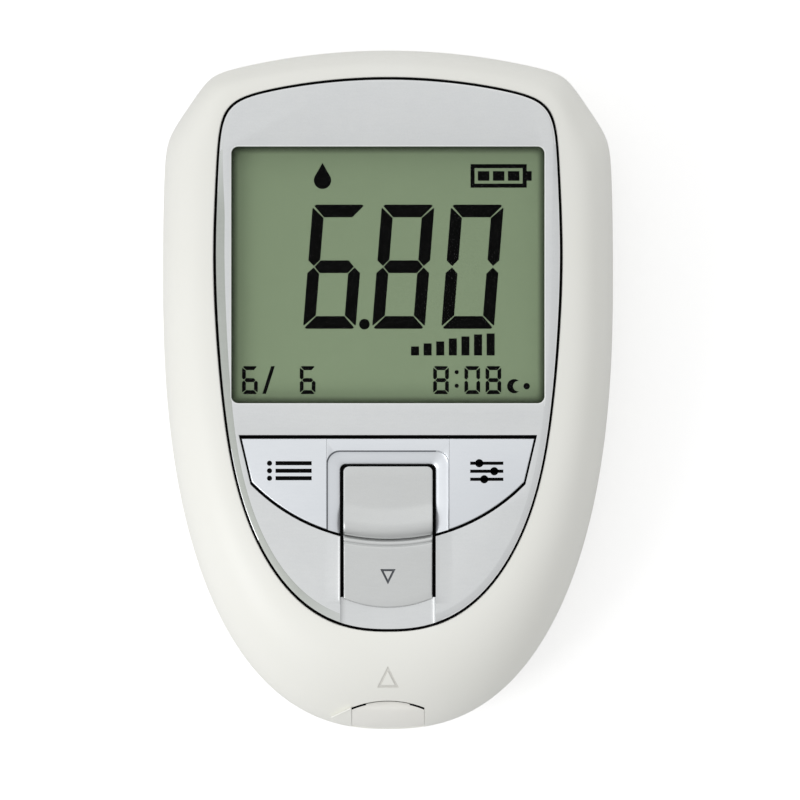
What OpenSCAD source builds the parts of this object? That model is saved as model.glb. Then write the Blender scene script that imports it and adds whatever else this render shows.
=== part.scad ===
// Cholesterol meter, lying on its back: +Z out of the display, +Y towards the display end.
// The origin is the middle of the footprint, on the surface the meter rests on. Millimetres.

/* [Outline] */
// Width of the body at its widest line
body_w = 65; // [63:0.5:70]
// Length of the body
body_l = 98; // [96:0.5:106]
// How far the widest line lies above the middle of the length
belly_y = 16.5; // [14:0.5:18]
// Fullness of the egg-shaped end, 2 is an ellipse
body_fullness = 2.4; // [2.2:0.05:2.7]
// Height that the sides aim for above the widest line
side_reach = 81; // [70:1:100]
// Radius of the crown arc at the display end
crown_r = 95; // [80:1:130]
// Tilt of the flat that cuts each shoulder
shoulder_tilt = 34.5; // [31:0.5:37]
// Distance of the shoulder flat from the widest line's middle
shoulder_reach = 37.5; // [37:0.1:39]
// Sharpness of the shoulder corners
shoulder_edge = 57; // [30:1:80]

/* [Housing] */
// Wall of the two housings
wall_t = 2; // [1.6:0.1:2.4]
// Height of the parting line
part_z = 11; // [10:0.5:12]
// Inset of the flat rest area from the outline
rest_inset = 5.5; // [4.5:0.5:6]
// Roundness of the housings' sides, 2 is an ellipse
side_round = 2.7; // [2.3:0.1:3]
// Roundness of the housings at the strip end
nose_round = 1.9; // [1.8:0.1:2.2]
// Depth and half height of the groove along the parting line
groove = 0.25; // [0.15:0.05:0.4]
// How far the housing's rim stands below the panel's face
rim_drop = 0.5; // [0.3:0.1:0.8]
// Thickness of the front housing's floor under the panel
floor_t = 2; // [1.8:0.1:2.4]

/* [Face panel] */
// White border beside the panel
side_border = 7.7; // [7:0.1:8.5]
// White border above the panel
crown_border = 4.1; // [3.5:0.1:5]
// White border below the panel
tail_border = 14.5; // [13.5:0.5:15.5]
// Height that the panel's sides aim for above the widest line
panel_reach = 78; // [65:1:95]
// Radius of the panel's top edge
panel_crown_r = 84; // [70:1:120]
// Sharpness of the panel's upper corners
panel_edge = 15.5; // [12:0.5:22]
// Gap between the panel and the housing's rim
panel_gap = 0.4; // [0.3:0.05:0.5]
// Thickness of the panel with the adhesive under it
panel_t = 2.1; // [1.9:0.1:2.5]
// Thickness of that adhesive
panel_tape_t = 0.1; // [0.06:0.01:0.12]
// Width of the bevel along the panel's edge
bevel_w = 1.3; // [0.8:0.1:1.8]
// Drop of the bevel along the panel's edge
bevel_h = 0.55; // [0.3:0.05:0.8]

/* [Display] */
// Silver border beside the window at the widest line
window_side = 2.35; // [1.8:0.05:4.5]
// Silver border above the window at its middle
window_top = 10; // [9.4:0.1:12]
// Silver border between the window and the key field
window_foot = 4.85; // [4.4:0.05:6]
// Corner radius of the window
window_r = 1; // [0.5:0.1:2]
// How far the clear cover reaches under the panel
cover_lap = 1.45; // [1.1:0.05:1.6]
// Thickness of the clear cover
cover_t = 1; // [0.8:0.1:1.2]
// Thickness of the adhesive under the clear cover
tape_t = 0.2; // [0.15:0.05:0.3]
// Thickness of the display
lcd_t = 2.2; // [1.8:0.1:2.4]
// How far the display reaches past the window
lcd_lap = 0.6; // [0.4:0.1:0.8]
// Height of the frame that holds the display over the board
holder_h = 3.7; // [3.6:0.1:4.2]
// Wall of that frame
holder_wall = 0.8; // [0.6:0.1:0.9]
// Width of the rubber connector strips
zebra_w = 1.6; // [1.4:0.1:1.8]

/* [Keys] */
// How far the key field's upper edge lies above the slider's
key_lead = 4.2; // [3.9:0.05:4.5]
// Silver border beside the key field's upper corners, from the widest line
key_side = 3.8; // [3.6:0.1:5]
// Length of the key field at its middle
key_field_l = 14.7; // [14:0.05:15]
// Lean of the key field's sides
key_lean = 13.3; // [11:0.1:16]
// Radius of the key field's lower edge
key_arc_r = 27.2; // [26.5:0.1:27.6]
// Gap round the keys
key_gap = 0.36; // [0.3:0.02:0.45]
// Hair gap between a key and the collar
seam = 0.12; // [0.1:0.02:0.2]
// Thickness of a key
key_t = 1.4; // [1.3:0.05:1.5]
// Distance of the key's post from the key field's upper corner, across
post_side = 6; // [5.4:0.1:7]
// Distance of the key's post from the key field's upper edge
post_drop = 5.25; // [4.3:0.05:5.8]
// Radius of the key's post
post_r = 1.4; // [1.2:0.1:1.5]
// Room round the post in the floor
post_room = 0.6; // [0.5:0.05:0.8]
// Radius of a snap dome
dome_r = 3; // [2.5:0.1:3.2]
// Height of a snap dome
dome_h = 0.6; // [0.5:0.05:0.7]
// Thickness of a snap dome's sheet
dome_t = 0.15; // [0.1:0.05:0.2]

/* [Slider and collar] */
// Half width of the slider
slider_half_w = 6.4; // [6:0.1:6.6]
// Length of the slider
slider_l = 20.25; // [20:0.05:20.5]
// Silver border between the slider's lower edge and the panel's lower end
slider_foot = 3.3; // [3.1:0.1:3.8]
// Radius of the slider's lower edge
slider_foot_r = 16; // [14:0.5:22]
// Travel of the slider towards the strip end
slider_travel = 3; // [2:0.25:3]
// Gap beside the slider
slider_gap = 0.46; // [0.4:0.02:0.5]
// Running clearance under the slider
slider_lift = 0.1; // [0.08:0.01:0.2]
// Thickness of the slider's lower plate below its ridge
plate_t = 0.8; // [0.7:0.05:0.85]
// Fall of that plate towards the slider's foot
foot_fall = 0.35; // [0.1:0.05:0.4]
// Radius of the hollow that leads up to the ridge
scoop_r = 3.6; // [2.2:0.1:5]
// Crest of the thumb ridge above the panel's face
ridge_h = 0.8; // [0.6:0.1:1]
// Distance of the ridge's crest from the slider's upper edge
ridge_drop = 8.75; // [8.55:0.05:8.95]
// Distance of the ledge from the ridge's crest
ledge_drop = 1.85; // [1.75:0.05:2]
// Plan radius of the ridge and its ledge
ridge_plan_r = 31; // [26:1:40]
// Width of the collar's sloping band
collar_w = 1.93; // [1.7:0.01:2.1]
// Drop of the collar's sloping band
collar_drop = 0.8; // [0.6:0.05:0.9]
// Inner corner radius of the collar
collar_r = 0.8; // [0.6:0.1:1]
// Depth of the slider's track in the panel
track_drop = 0.9; // [0.85:0.05:1]
// Height of the shoulders beside the track
shoulder_h = 0.35; // [0.2:0.05:0.4]
// Width of a shoulder's flank
shoulder_w = 1.2; // [0.9:0.1:1.4]
// Half width of the slider's neck
neck_half_w = 2.6; // [2.2:0.1:2.8]
// Length of the slider's neck
neck_l = 8; // [7:0.5:8.5]
// Distance of the neck's upper end from the slider's upper edge
neck_drop = 5.05; // [4.65:0.05:5.25]
// Side clearance of the neck in its slot
neck_room = 0.2; // [0.15:0.01:0.25]
// Height of the arrow engraved in the slider
arrow_h = 2.2; // [1.6:0.1:2.6]
// Depth of the arrow's lines
arrow_depth = 0.2; // [0.1:0.05:0.3]
// Reach of the finger past the neck
finger_reach = 7.5; // [7.2:0.1:7.6]
// Thickness of the arm
arm_t = 0.9; // [0.8:0.05:1]
// Distance of the return spring from the middle
spring_x = 7.5; // [7.3:0.1:7.7]
// Length of the return spring at rest
spring_l = 9; // [8.5:0.1:9.2]
// Radius of the return spring's coil
spring_r = 1.15; // [1:0.05:1.2]
// Radius of the return spring's wire
spring_wire_r = 0.18; // [0.12:0.01:0.2]
// Turns of the return spring
spring_turns = 8; // [6:0.5:9]

/* [Strip port] */
// Half width of the notch at the strip end
notch_half_w = 5.25; // [5:0.05:5.6]
// Upper edge of the notch at its middle
notch_y = -44.65; // [-45:0.05:-44.3]
// Radius of the notch's upper edge
notch_r = 13.8; // [12:0.2:18]
// Clearance round the strip guide
guide_gap = 0.15; // [0.1:0.01:0.2]
// Height of a test strip's channel above the board
strip_rise = 1.45; // [1.2:0.05:1.5]
// How far the guide's sill lies below that channel
sill_drop = 0.05; // [0.02:0.01:0.3]
// Width of a test strip's channel
strip_w = 8.4; // [7.6:0.1:8.6]
// Height of a test strip's channel
strip_h = 1; // [0.8:0.05:1.1]
// Length of the strip connector
socket_l = 8; // [7:0.5:8.5]
// Height of the strip connector
socket_h = 3.4; // [3.2:0.05:3.5]

/* [Cells] */
// Diameter of a cell
cell_d = 10.5; // [10.3:0.1:10.5]
// Length of a cell with its nub
cell_l = 44.5; // [43.5:0.1:44.5]
// How far the middle of the cells lies below the widest line
cell_drop = 1.5; // [1.1:0.1:1.9]
// Room round a cell
cell_room = 0.25; // [0.2:0.01:0.3]
// Length of a contact spring under its cell
cell_spring_l = 4.9; // [4.5:0.1:5.2]
// Thickness of a contact plate
contact_t = 0.4; // [0.3:0.05:0.5]
// Half width of a contact plate
contact_half_w = 4; // [3.6:0.1:4.3]
// Radius of a contact spring at its plate
contact_r = 3.4; // [3:0.1:3.6]
// Radius of a contact spring at its cell
contact_tip_r = 2.2; // [1.9:0.1:2.5]
// Radius of a contact spring's wire
contact_wire_r = 0.28; // [0.2:0.01:0.3]
// Turns of a contact spring
contact_turns = 3.5; // [3:0.5:4.5]
// Radius of a cell's nub
nub_r = 1.9; // [1.7:0.1:2.2]
// Length of a cell's nub
nub_l = 1; // [0.9:0.05:1.2]
// Wall of the battery tub
tub_wall = 1.2; // [1:0.1:1.3]
// Thickness of the battery door
door_t = 1.8; // [1.6:0.1:1.85]
// Gap round the battery door
door_gap = 0.15; // [0.1:0.01:0.2]
// How far the door overlaps the tub's shelf
door_lap = 2; // [1.8:0.1:2.1]

/* [Board and fasteners] */
// Thickness of the circuit board
board_t = 1.6; // [1.5:0.1:1.7]
// Gap between the housing and the edge of the board
board_gap = 2.2; // [2:0.1:2.4]
// Radius of a housing boss
boss_r = 2.6; // [2.4:0.1:2.7]
// Radius of a boss that carries the board
board_boss_r = 2.1; // [1.9:0.1:2.2]
// Radius of a screw's shank
shank_r = 0.95; // [0.9:0.01:1]
// Radius of a screw's head
head_r = 1.9; // [1.8:0.05:2]
// Thickness of a screw's head
head_t = 1.2; // [1:0.1:1.3]
// Radial clearance of a screw in its hole
screw_room = 0.05; // [0.03:0.01:0.08]
// How far a housing screw ends below the front housing's floor
housing_tip = 3; // [2:0.1:4]
// How far a board screw ends below the panel
board_tip = 2; // [1.8:0.1:2.6]
// Depth of a housing screw's head in its well
counterbore_z = 3; // [2.6:0.1:3.2]
// Width of the microcontroller
mcu_w = 10; // [7:0.5:10]
// Thickness of the microcontroller
mcu_t = 1; // [0.8:0.1:1.4]
// Width of the measuring chip
analog_w = 6; // [5:0.5:7]
// Length of the measuring chip
analog_l = 4; // [3.5:0.5:5]
// Gap between the battery tub and the measuring chip
analog_gap = 4.65; // [2:0.05:6]
// Radius of the crystal's can
crystal_r = 1.5; // [1.2:0.1:1.6]
// Length of the crystal's can
crystal_l = 8; // [6:0.5:8]
// Radius of the buzzer
buzzer_r = 5; // [4:0.5:5.5]
// Height of the buzzer
buzzer_h = 4; // [3:0.5:4.5]
// Distance of the buzzer from the middle
buzzer_x = 3; // [0:0.5:4]
// Distance of the buzzer from the strip end
buzzer_tail = 21; // [20:0.5:23]
// Length of a resistor or capacitor
passive_l = 2; // [1.6:0.1:2.2]
// Distance between two of them in a row
passive_pitch = 2.2; // [1.8:0.1:2.4]

/* [Hidden] */
$fn = 48;
cut = 1;
sink = 0.5;
touch = 0.02;

// Levels, worked out from the rest surface up to the crest of the thumb ridge
door_z = 0.15;
shelf_z = wall_t;
cell_z = door_z + door_t + 0.2 + cell_d / 2;
tub_in_z = cell_z + cell_d / 2 + cell_room;
tub_top = tub_in_z + 1;
board_z = tub_top + 0.2;
board_top = board_z + board_t;
floor_z = board_top + holder_h;
seat_z = floor_z + floor_t;
face_z = seat_z + panel_t;
rim_z = face_z - rim_drop;
cover_z = seat_z - cover_t;
lcd_z = floor_z - 0.2 - lcd_t;
key_z = face_z - key_t;
track_z = face_z - track_drop;
pad_z = seat_z + panel_tape_t;
slider_z = track_z + slider_lift;
plate_top = slider_z + plate_t;
scoop_z = slider_z + 0.45;
crest_z = face_z + ridge_h;
arm_z = floor_z - 0.45 - arm_t;
spring_z = (board_top + floor_z) / 2;
contact_low_z = shelf_z + 2.2;
contact_high_z = tub_in_z - 0.2;
strip_z = board_top + strip_rise;
sill_z = strip_z - sill_drop;

// Plan sizes of the outline, the panel and the display
crown_y = body_l / 2;
tail_y = -body_l / 2;
crown_up = crown_y - belly_y;
tail_down = belly_y - tail_y;
panel_half_w = body_w / 2 - side_border;
panel_up = crown_up - crown_border;
panel_down = tail_down - tail_border;
panel_fullness = 2.43;
panel_low_y = tail_y + tail_border;

// Plan sizes of the slider and the keys, counted up from the panel's lower end
slider_foot_y = panel_low_y + slider_foot;
slider_top_y = slider_foot_y + slider_l;
ridge_y = slider_top_y - ridge_drop;
ledge_y = ridge_y - ledge_drop;
slot_half_w = slider_half_w + slider_gap;
slot_top_y = slider_top_y + 0.32;
collar_half_w = slot_half_w + collar_w;
collar_top_y = slot_top_y + collar_w;
collar_outer_r = collar_r + 1.2;
groove_foot = 1.5;
slider_screw_r = 0.75;
key_half_w = panel_half_w - key_side;
key_top_y = slider_top_y + key_lead;
key_foot_y = key_top_y - key_field_l - 3.5;
key_foot_half_w = key_half_w - (key_top_y - key_foot_y) * tan(key_lean);
key_arc_y = key_top_y - key_field_l + key_arc_r;
post_x = key_half_w - post_side;
post_y = key_top_y - post_drop;
peg_r = 0.7;
peg_x = collar_half_w - 1;
peg_y = collar_top_y - 1;

// Plan sizes of the window and the display
window_w = 2 * (panel_half_w - window_side);
window_high_y = crown_y - crown_border - window_top;
window_low_y = key_top_y + window_foot;
window_h = window_high_y - window_low_y;
window_y = (window_high_y + window_low_y) / 2;
lcd_w = window_w + 2 * lcd_lap;
lcd_h = window_h + 2 * lcd_lap + 2 * zebra_w;
lcd_room = 0.1;
holder_w = lcd_w + 2 * (holder_wall + lcd_room);
holder_l = lcd_h + 2 * (holder_wall + lcd_room);

// Plan sizes of the cells and the door
cell_y = belly_y - cell_drop;
tub_half_w = cell_d + 0.7;
tub_l = cell_l + cell_spring_l + 2 * contact_t;
tub_low_y = cell_y - tub_l / 2;
tub_high_y = cell_y + tub_l / 2;
door_half_w = tub_half_w + door_lap;
door_low_y = tub_low_y - door_lap + 0.5;
door_high_y = tub_high_y + door_lap - 0.5;
door_l = door_high_y - door_low_y;
door_y = (door_high_y + door_low_y) / 2;
cell_x = cell_d / 2 + 0.15;
hook_x = 7;
hook_half_w = 2;
hook_reach = 1.9;
hook_t = 1;
hook_room = 0.3;
dish_r = 5;

// Plan sizes of the ejector and the strip's socket
neck_top_y = slider_top_y - neck_drop;
neck_low_y = neck_top_y - neck_l;
neck_slot_high = neck_top_y + 0.2;
neck_slot_low = neck_low_y - slider_travel - 0.2;
finger_y = neck_low_y - finger_reach;
finger_half_w = 1.4;
finger_l = 1.4;
lug_y = neck_low_y + 4;
lug_t = 1.2;
lug_half_w = 1.5;
spring_stop_y = lug_y - spring_l;
socket_high_y = finger_y + finger_l / 2 - 0.8;
socket_low_y = socket_high_y - socket_l;
socket_half_w = strip_w / 2 + 2.6;
guide_back_y = socket_low_y - 0.2;
board_low_y = socket_low_y + 0.6;

// Places of the screws
housing_screw_at = [
    for (x = [1, -1]) [x * (door_half_w + 4.8), crown_y - 8],
    for (x = [1, -1]) [x * (body_w / 2 - 12.5), tail_y + 25]
];
board_screw_at = [
    for (x = [1, -1]) [x * (body_w / 2 - 6.3), belly_y - 8.5],
    for (x = [1, -1]) [x * (spring_x + 5.5), tail_y + 22]
];

// Colours as the photograph shows them
ivory = [0.93, 0.93, 0.9];
silver = [0.79, 0.81, 0.8];
steel = [0.72, 0.73, 0.74];
brass = [0.8, 0.68, 0.4];
dark = [0.12, 0.12, 0.13];
board_green = [0.1, 0.38, 0.2];

// Angles at which an outline is sampled, closer together where the shoulders turn
half_stations = [for (a = [-90:3:21]) a, for (a = [23:2:57]) a, for (a = [62:7:90]) a];
stations = [
    each half_stations,
    for (i = [len(half_stations) - 2:-1:1]) 180 - half_stations[i]
];

function total(list) = len(list) == 0 ? 0 : [for (v = list) 1] * list;

// Least of several reaches, with the corners between them rounded
function soft_least(reaches, edge) = pow(total([for (v = reaches) pow(v, -edge)]), -1 / edge);

// Reach of a superellipse whose upper and lower halves differ
function egg_reach(half_w, up, down, fullness, a) =
    let (across = pow(abs(cos(a)) / half_w, fullness))
    let (along = pow(abs(sin(a)) / (sin(a) < 0 ? down : up), fullness))
    pow(across + along, -1 / fullness);

// Reach of an arc whose top lies at the given height
function arc_reach(top, r, a) =
    let (fall = (r - top) * sin(a))
    sqrt(fall * fall + r * r - (r - top) * (r - top)) - fall;

// Reach of the flat across a shoulder
function flat_reach(far, tilt, a) = far / (cos(tilt) * abs(cos(a)) + sin(tilt) * sin(a));

function body_reach(a) =
    let (egg = egg_reach(body_w / 2, side_reach, tail_down, body_fullness, a))
    sin(a) <= 0 ? egg : soft_least([
        egg,
        arc_reach(crown_up, crown_r, a),
        flat_reach(shoulder_reach, shoulder_tilt, a)
    ], shoulder_edge);

function panel_reach_at(a) =
    let (egg = egg_reach(panel_half_w, panel_reach, panel_down, panel_fullness, a))
    sin(a) <= 0 ? egg : soft_least([egg, arc_reach(panel_up, panel_crown_r, a)], panel_edge);

function at(reach, a) = [reach * cos(a), belly_y + reach * sin(a)];
function at_z(reach, a, z) = [reach * cos(a), belly_y + reach * sin(a), z];

// Roundness of the side at one angle: fuller along the sides, softer at the strip end
function roundness(a) = side_round + (nose_round - side_round) * pow(max(0, -sin(a)), 4);
function inward(t, a) = 1 - pow(max(0, cos(t)), 2 / roundness(a));
function upward(t, a) = pow(max(0, sin(t)), 2 / roundness(a));

// One ring of the front dome, from the parting line at 0 to the panel's rim at 90 degrees
function dome_ring(t, inset, top_inset, top_z) = [
    for (a = stations)
        let (from = body_reach(a) - inset)
        let (to = panel_reach_at(a) + top_inset)
        at_z(from + (to - from) * inward(t, a), a, part_z + (top_z - part_z) * upward(t, a))
];

// One ring of the rear bowl, from the rest surface at 90 degrees to the parting line at 0
function bowl_ring(t, inset, foot_inset, foot_z) = [
    for (a = stations)
        let (from = body_reach(a) - inset)
        at_z(from - foot_inset * inward(t, a), a, part_z - (part_z - foot_z) * upward(t, a))
];

function level_ring(inset, z) = [for (a = stations) at_z(body_reach(a) - inset, a, z)];
function panel_ring(inset, z) = [for (a = stations) at_z(panel_reach_at(a) - inset, a, z)];

// Closed solid through a list of rings that hold equally many points
module loft(rings) {
    n = len(rings[0]);
    last = (len(rings) - 1) * n;
    sides = [
        for (k = [0:len(rings) - 2])
            for (i = [0:n - 1])
                let (a = k * n + i, b = k * n + (i + 1) % n)
                each [[a, a + n, b + n], [a, b + n, b]]
    ];
    polyhedron(
        points = [for (ring = rings) each ring],
        faces = [
            [for (i = [0:n - 1]) i],
            each sides,
            [for (i = [n - 1:-1:0]) last + i]
        ]
    );
}

module slab(low_z, high_z) {
    translate([0, 0, low_z]) linear_extrude(high_z - low_z) children();
}

module block(low, high) {
    translate(low) cube(high - low);
}

module rod(place, r, low_z, high_z) {
    translate([place[0], place[1], low_z]) cylinder(r = r, h = high_z - low_z);
}

module rounded_rect(w, h, r) {
    square([w - 2 * r, h], center = true);
    square([w, h - 2 * r], center = true);
    for (x = [-1, 1], y = [-1, 1])
        translate([x * (w / 2 - r), y * (h / 2 - r)]) circle(r);
}

module body_outline(inset) {
    polygon([for (a = stations) at(body_reach(a) - inset, a)]);
}

module panel_outline(inset) {
    polygon([for (a = stations) at(panel_reach_at(a) - inset, a)]);
}

// D-shaped key field, let out by the given amount all round
module key_field(grow) {
    intersection() {
        translate([0, key_arc_y]) circle(key_arc_r + grow, $fn = 96);
        polygon([
            [-key_half_w - grow, key_top_y + grow],
            [-key_foot_half_w - grow, key_foot_y],
            [key_foot_half_w + grow, key_foot_y],
            [key_half_w + grow, key_top_y + grow]
        ]);
    }
}

// Slot of the slider with its upper corners rounded
module slot_outline(half_w, top_y, r, low_y) {
    translate([-half_w, low_y]) square([2 * half_w, top_y - r - low_y]);
    translate([-half_w + r, top_y - 2 * r]) square([2 * (half_w - r), 2 * r]);
    for (x = [-1, 1]) translate([x * (half_w - r), top_y - r]) circle(r);
}

module notch_outline(gap, back) {
    intersection() {
        translate([-notch_half_w + gap, -body_l])
            square([2 * (notch_half_w - gap), body_l + notch_y + back]);
        translate([0, notch_y - notch_r + back]) circle(notch_r - gap, $fn = 96);
    }
}

module front_rings() {
    loft([
        for (t = [90, 66, 48, 30, 14, 0])
            dome_ring(t, wall_t, 0, floor_z),
        level_ring(groove, part_z),
        for (t = [6, 14, 22, 30, 39, 48, 57, 66, 76])
            dome_ring(t, 0, panel_gap, rim_z),
        dome_ring(90, 0, panel_gap, rim_z),
        panel_ring(-panel_gap, seat_z)
    ]);
}

// Upper shell: dome, recess for the panel, window ledge, screw bosses and spring stop
module front_housing() {
    color(ivory)
    difference() {
        union() {
            front_rings();
            for (p = housing_screw_at) rod(p, boss_r, part_z, floor_z + sink);
            for (p = board_screw_at) rod(p, board_boss_r, board_top, floor_z + sink);
            block(
                [spring_x - lug_half_w, spring_stop_y - lug_t, board_top + 0.3],
                [spring_x + lug_half_w, spring_stop_y, floor_z + sink]
            );
        }
        translate([0, window_y]) {
            slab(floor_z - cut, seat_z + cut)
                rounded_rect(window_w + lcd_lap, window_h + lcd_lap, window_r);
            slab(cover_z - tape_t, seat_z + cut)
                rounded_rect(window_w + 2 * cover_lap + 0.3, window_h + 2 * cover_lap + 0.3, 2);
        }
        for (x = [-1, 1]) {
            rod([x * post_x, post_y], post_r + post_room, floor_z - cut, seat_z + cut);
            rod([x * peg_x, peg_y], peg_r + screw_room, floor_z - cut, seat_z + cut);
        }
        block(
            [-neck_half_w - neck_room, neck_slot_low, floor_z - cut],
            [neck_half_w + neck_room, neck_slot_high, seat_z + cut]
        );
        slab(part_z - cut, rim_z + cut) notch_outline(0, 0);
        block(
            [-strip_w / 2 - guide_gap, tail_y, part_z - cut],
            [strip_w / 2 + guide_gap, guide_back_y, strip_z + strip_h + 0.1]
        );
        block(
            [-socket_half_w - guide_gap, guide_back_y, board_top],
            [socket_half_w + guide_gap, socket_high_y, board_top + socket_h + 0.1]
        );
        for (p = housing_screw_at)
            rod(p, shank_r + screw_room, part_z - cut, floor_z - cut);
        for (p = board_screw_at)
            rod(p, shank_r + screw_room, board_top - cut, seat_z - cut);
    }
}

module rear_rings() {
    loft([
        for (t = [90, 70, 50, 32, 16, 6])
            bowl_ring(t, 0, rest_inset, 0),
        level_ring(groove, part_z),
        for (t = [0, 20, 42, 66, 90])
            bowl_ring(t, wall_t, rest_inset - 1, wall_t)
    ]);
}

module door_outline(gap) {
    translate([0, door_y]) rounded_rect(2 * (door_half_w - gap), door_l - 2 * gap, 2);
}

// Lower shell: bowl with its rest flat, battery tub with shelf, and four screw wells
module rear_housing() {
    shelf_t = 1.2;
    color(ivory)
    difference() {
        union() {
            rear_rings();
            for (p = housing_screw_at) rod(p, boss_r, wall_t - sink, part_z);
            slab(shelf_z - sink, shelf_z + shelf_t)
                translate([0, door_y])
                    square([2 * (door_half_w + tub_wall), door_l + 2 * tub_wall], center = true);
            block(
                [-tub_half_w - tub_wall, tub_low_y - tub_wall, shelf_z],
                [tub_half_w + tub_wall, tub_high_y + tub_wall, tub_top]
            );
        }
        slab(-cut, shelf_z) door_outline(0);
        block([-tub_half_w, tub_low_y, shelf_z - cut], [tub_half_w, tub_high_y, tub_in_z]);
        for (x = [-1, 1]) block(
            [x * hook_x - hook_half_w - hook_room, door_low_y - hook_reach - 0.5, shelf_z],
            [x * hook_x + hook_half_w + hook_room, tub_low_y + cut, shelf_z + hook_t + 0.9]
        );
        for (x = [-cell_x, cell_x]) block(
            [x - 1, tub_high_y - contact_t - 0.1, tub_in_z - cut],
            [x + 1, tub_high_y, tub_top + cut]
        );
        rod([0, door_high_y + 0.5], dish_r, -cut, 0.8);
        for (p = housing_screw_at) {
            rod(p, shank_r + 0.3, -cut, part_z + cut);
            rod(p, head_r + 0.3, -cut, counterbore_z);
        }
    }
}

// Battery door: plate, two hooks at its lower end and a latch tab at its upper end
module battery_door() {
    plate_top_z = door_z + door_t;
    hook_z = shelf_z + 0.15;
    edge_y = door_low_y + door_gap;
    latch_x = 4.5;
    latch_l = 6;
    rib_pitch = 1.6;
    rib_l = 0.8;
    color(ivory)
    difference() {
        union() {
            slab(door_z, plate_top_z) door_outline(door_gap);
            for (x = [-1, 1]) {
                block(
                    [x * hook_x - hook_half_w, edge_y - hook_reach, hook_z],
                    [x * hook_x + hook_half_w, edge_y + 1.1, hook_z + hook_t]
                );
                block(
                    [x * hook_x - hook_half_w, edge_y + 0.3, plate_top_z - sink],
                    [x * hook_x + hook_half_w, edge_y + 1.1, hook_z + sink]
                );
            }
        }
        for (x = [-1, 1]) block(
            [x * latch_x - 0.4, door_high_y - latch_l, door_z - cut],
            [x * latch_x + 0.4, door_high_y + cut, plate_top_z + cut]
        );
        rod([0, door_high_y + 0.5], dish_r, door_z - cut, door_z + 0.65);
        for (i = [1:5]) block(
            [-dish_r, door_high_y - latch_l - 1.4 - i * rib_pitch, door_z - cut],
            [dish_r, door_high_y - latch_l - 1.4 - i * rib_pitch + rib_l, door_z + 0.4]
        );
    }
}

// Black adhesive sheet under the panel, the collar and the keys
module panel_tape() {
    color(dark)
    difference() {
        slab(seat_z, pad_z) panel_outline(0);
        translate([0, window_y])
            slab(seat_z - cut, pad_z + cut) rounded_rect(window_w, window_h, window_r);
        for (x = [-1, 1]) {
            rod([x * post_x, post_y], post_r + post_room, seat_z - cut, pad_z + cut);
            rod([x * peg_x, peg_y], peg_r + screw_room, seat_z - cut, pad_z + cut);
        }
        block(
            [-neck_half_w - neck_room, neck_slot_low, seat_z - cut],
            [neck_half_w + neck_room, neck_slot_high, pad_z + cut]
        );
    }
}

// Silver plate with its bevelled edge, window, key field, slider track and shoulders
module face_panel() {
    color(silver)
    difference() {
        union() {
            loft([
                panel_ring(0, pad_z),
                panel_ring(0, face_z - bevel_h),
                panel_ring(bevel_w * 0.45, face_z - bevel_h * 0.25),
                panel_ring(bevel_w, face_z)
            ]);
            intersection() {
                for (x = [-1, 1])
                    rotate([90, 0, 0])
                        translate([0, 0, -key_foot_y - 10])
                            linear_extrude(body_l / 2)
                                polygon([
                                    [x * (slot_half_w - sink), face_z - sink],
                                    [x * (slot_half_w + shoulder_w), face_z - sink],
                                    [x * (slot_half_w + shoulder_w), face_z],
                                    [x * (slot_half_w + shoulder_w / 3), face_z + shoulder_h],
                                    [x * (slot_half_w - sink), face_z + shoulder_h]
                                ]);
                slab(face_z - cut, face_z + cut) panel_outline(bevel_w + 0.4);
            }
        }
        translate([0, window_y])
            slab(seat_z - cut, face_z + cut) rounded_rect(window_w, window_h, window_r);
        slab(seat_z - cut, face_z + cut) key_field(key_gap);
        block([-slot_half_w, tail_y, track_z], [slot_half_w, slot_top_y, face_z + cut]);
        for (x = [-1, 1]) translate([x * (slider_half_w + slider_gap / 2), slider_foot_y, pad_z])
            block([-slider_gap / 2, groove_foot, -cut], [slider_gap / 2, slider_l, panel_t + cut]);
        block(
            [-neck_half_w - neck_room, neck_slot_low, seat_z - cut],
            [neck_half_w + neck_room, neck_slot_high, face_z + cut]
        );
    }
}

// Clear cover that lies in the front housing's floor, under the panel
module display_window() {
    color([0.85, 0.9, 0.88, 0.4])
    translate([0, window_y]) slab(cover_z, seat_z)
        rounded_rect(window_w + 2 * cover_lap, window_h + 2 * cover_lap, 2);
}

module window_tape() {
    color(dark)
    translate([0, window_y]) slab(cover_z - tape_t, cover_z) difference() {
        rounded_rect(window_w + 2 * cover_lap, window_h + 2 * cover_lap, 2);
        rounded_rect(window_w + 0.8, window_h + 0.8, window_r);
    }
}

// Display: two glass sheets, the upper one shorter so that the contact ledges lie bare below
module lcd_glass() {
    color([0.56, 0.62, 0.52])
    translate([0, window_y]) {
        slab(lcd_z + lcd_t / 2, lcd_z + lcd_t) square([lcd_w, lcd_h], center = true);
        slab(lcd_z, lcd_z + lcd_t / 2)
            square([lcd_w, lcd_h - 2 * zebra_w - 0.6], center = true);
    }
}

// Frame that stands on the board, carries the display and keeps the rubber strips in place
module lcd_holder() {
    color([0.9, 0.9, 0.88])
    translate([0, window_y]) {
        difference() {
            slab(board_top, floor_z) square([holder_w, holder_l], center = true);
            slab(board_top - cut, floor_z + cut)
                square([lcd_w - 2, lcd_h - 2 * zebra_w - 2], center = true);
            slab(lcd_z, floor_z + cut) square([lcd_w + 0.2, lcd_h + 0.2], center = true);
            for (y = [-1, 1]) translate([0, y * (lcd_h - zebra_w) / 2])
                slab(board_top - cut, lcd_z + cut) square([lcd_w - 1.8, zebra_w + 0.1], center = true);
        }
    }
}

module zebra_strips() {
    color([0.75, 0.45, 0.5])
    translate([0, window_y]) for (y = [-1, 1]) translate([0, y * (lcd_h - zebra_w) / 2])
        slab(board_top, lcd_z + lcd_t / 2) square([lcd_w - 2, zebra_w - 0.1], center = true);
}

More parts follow.
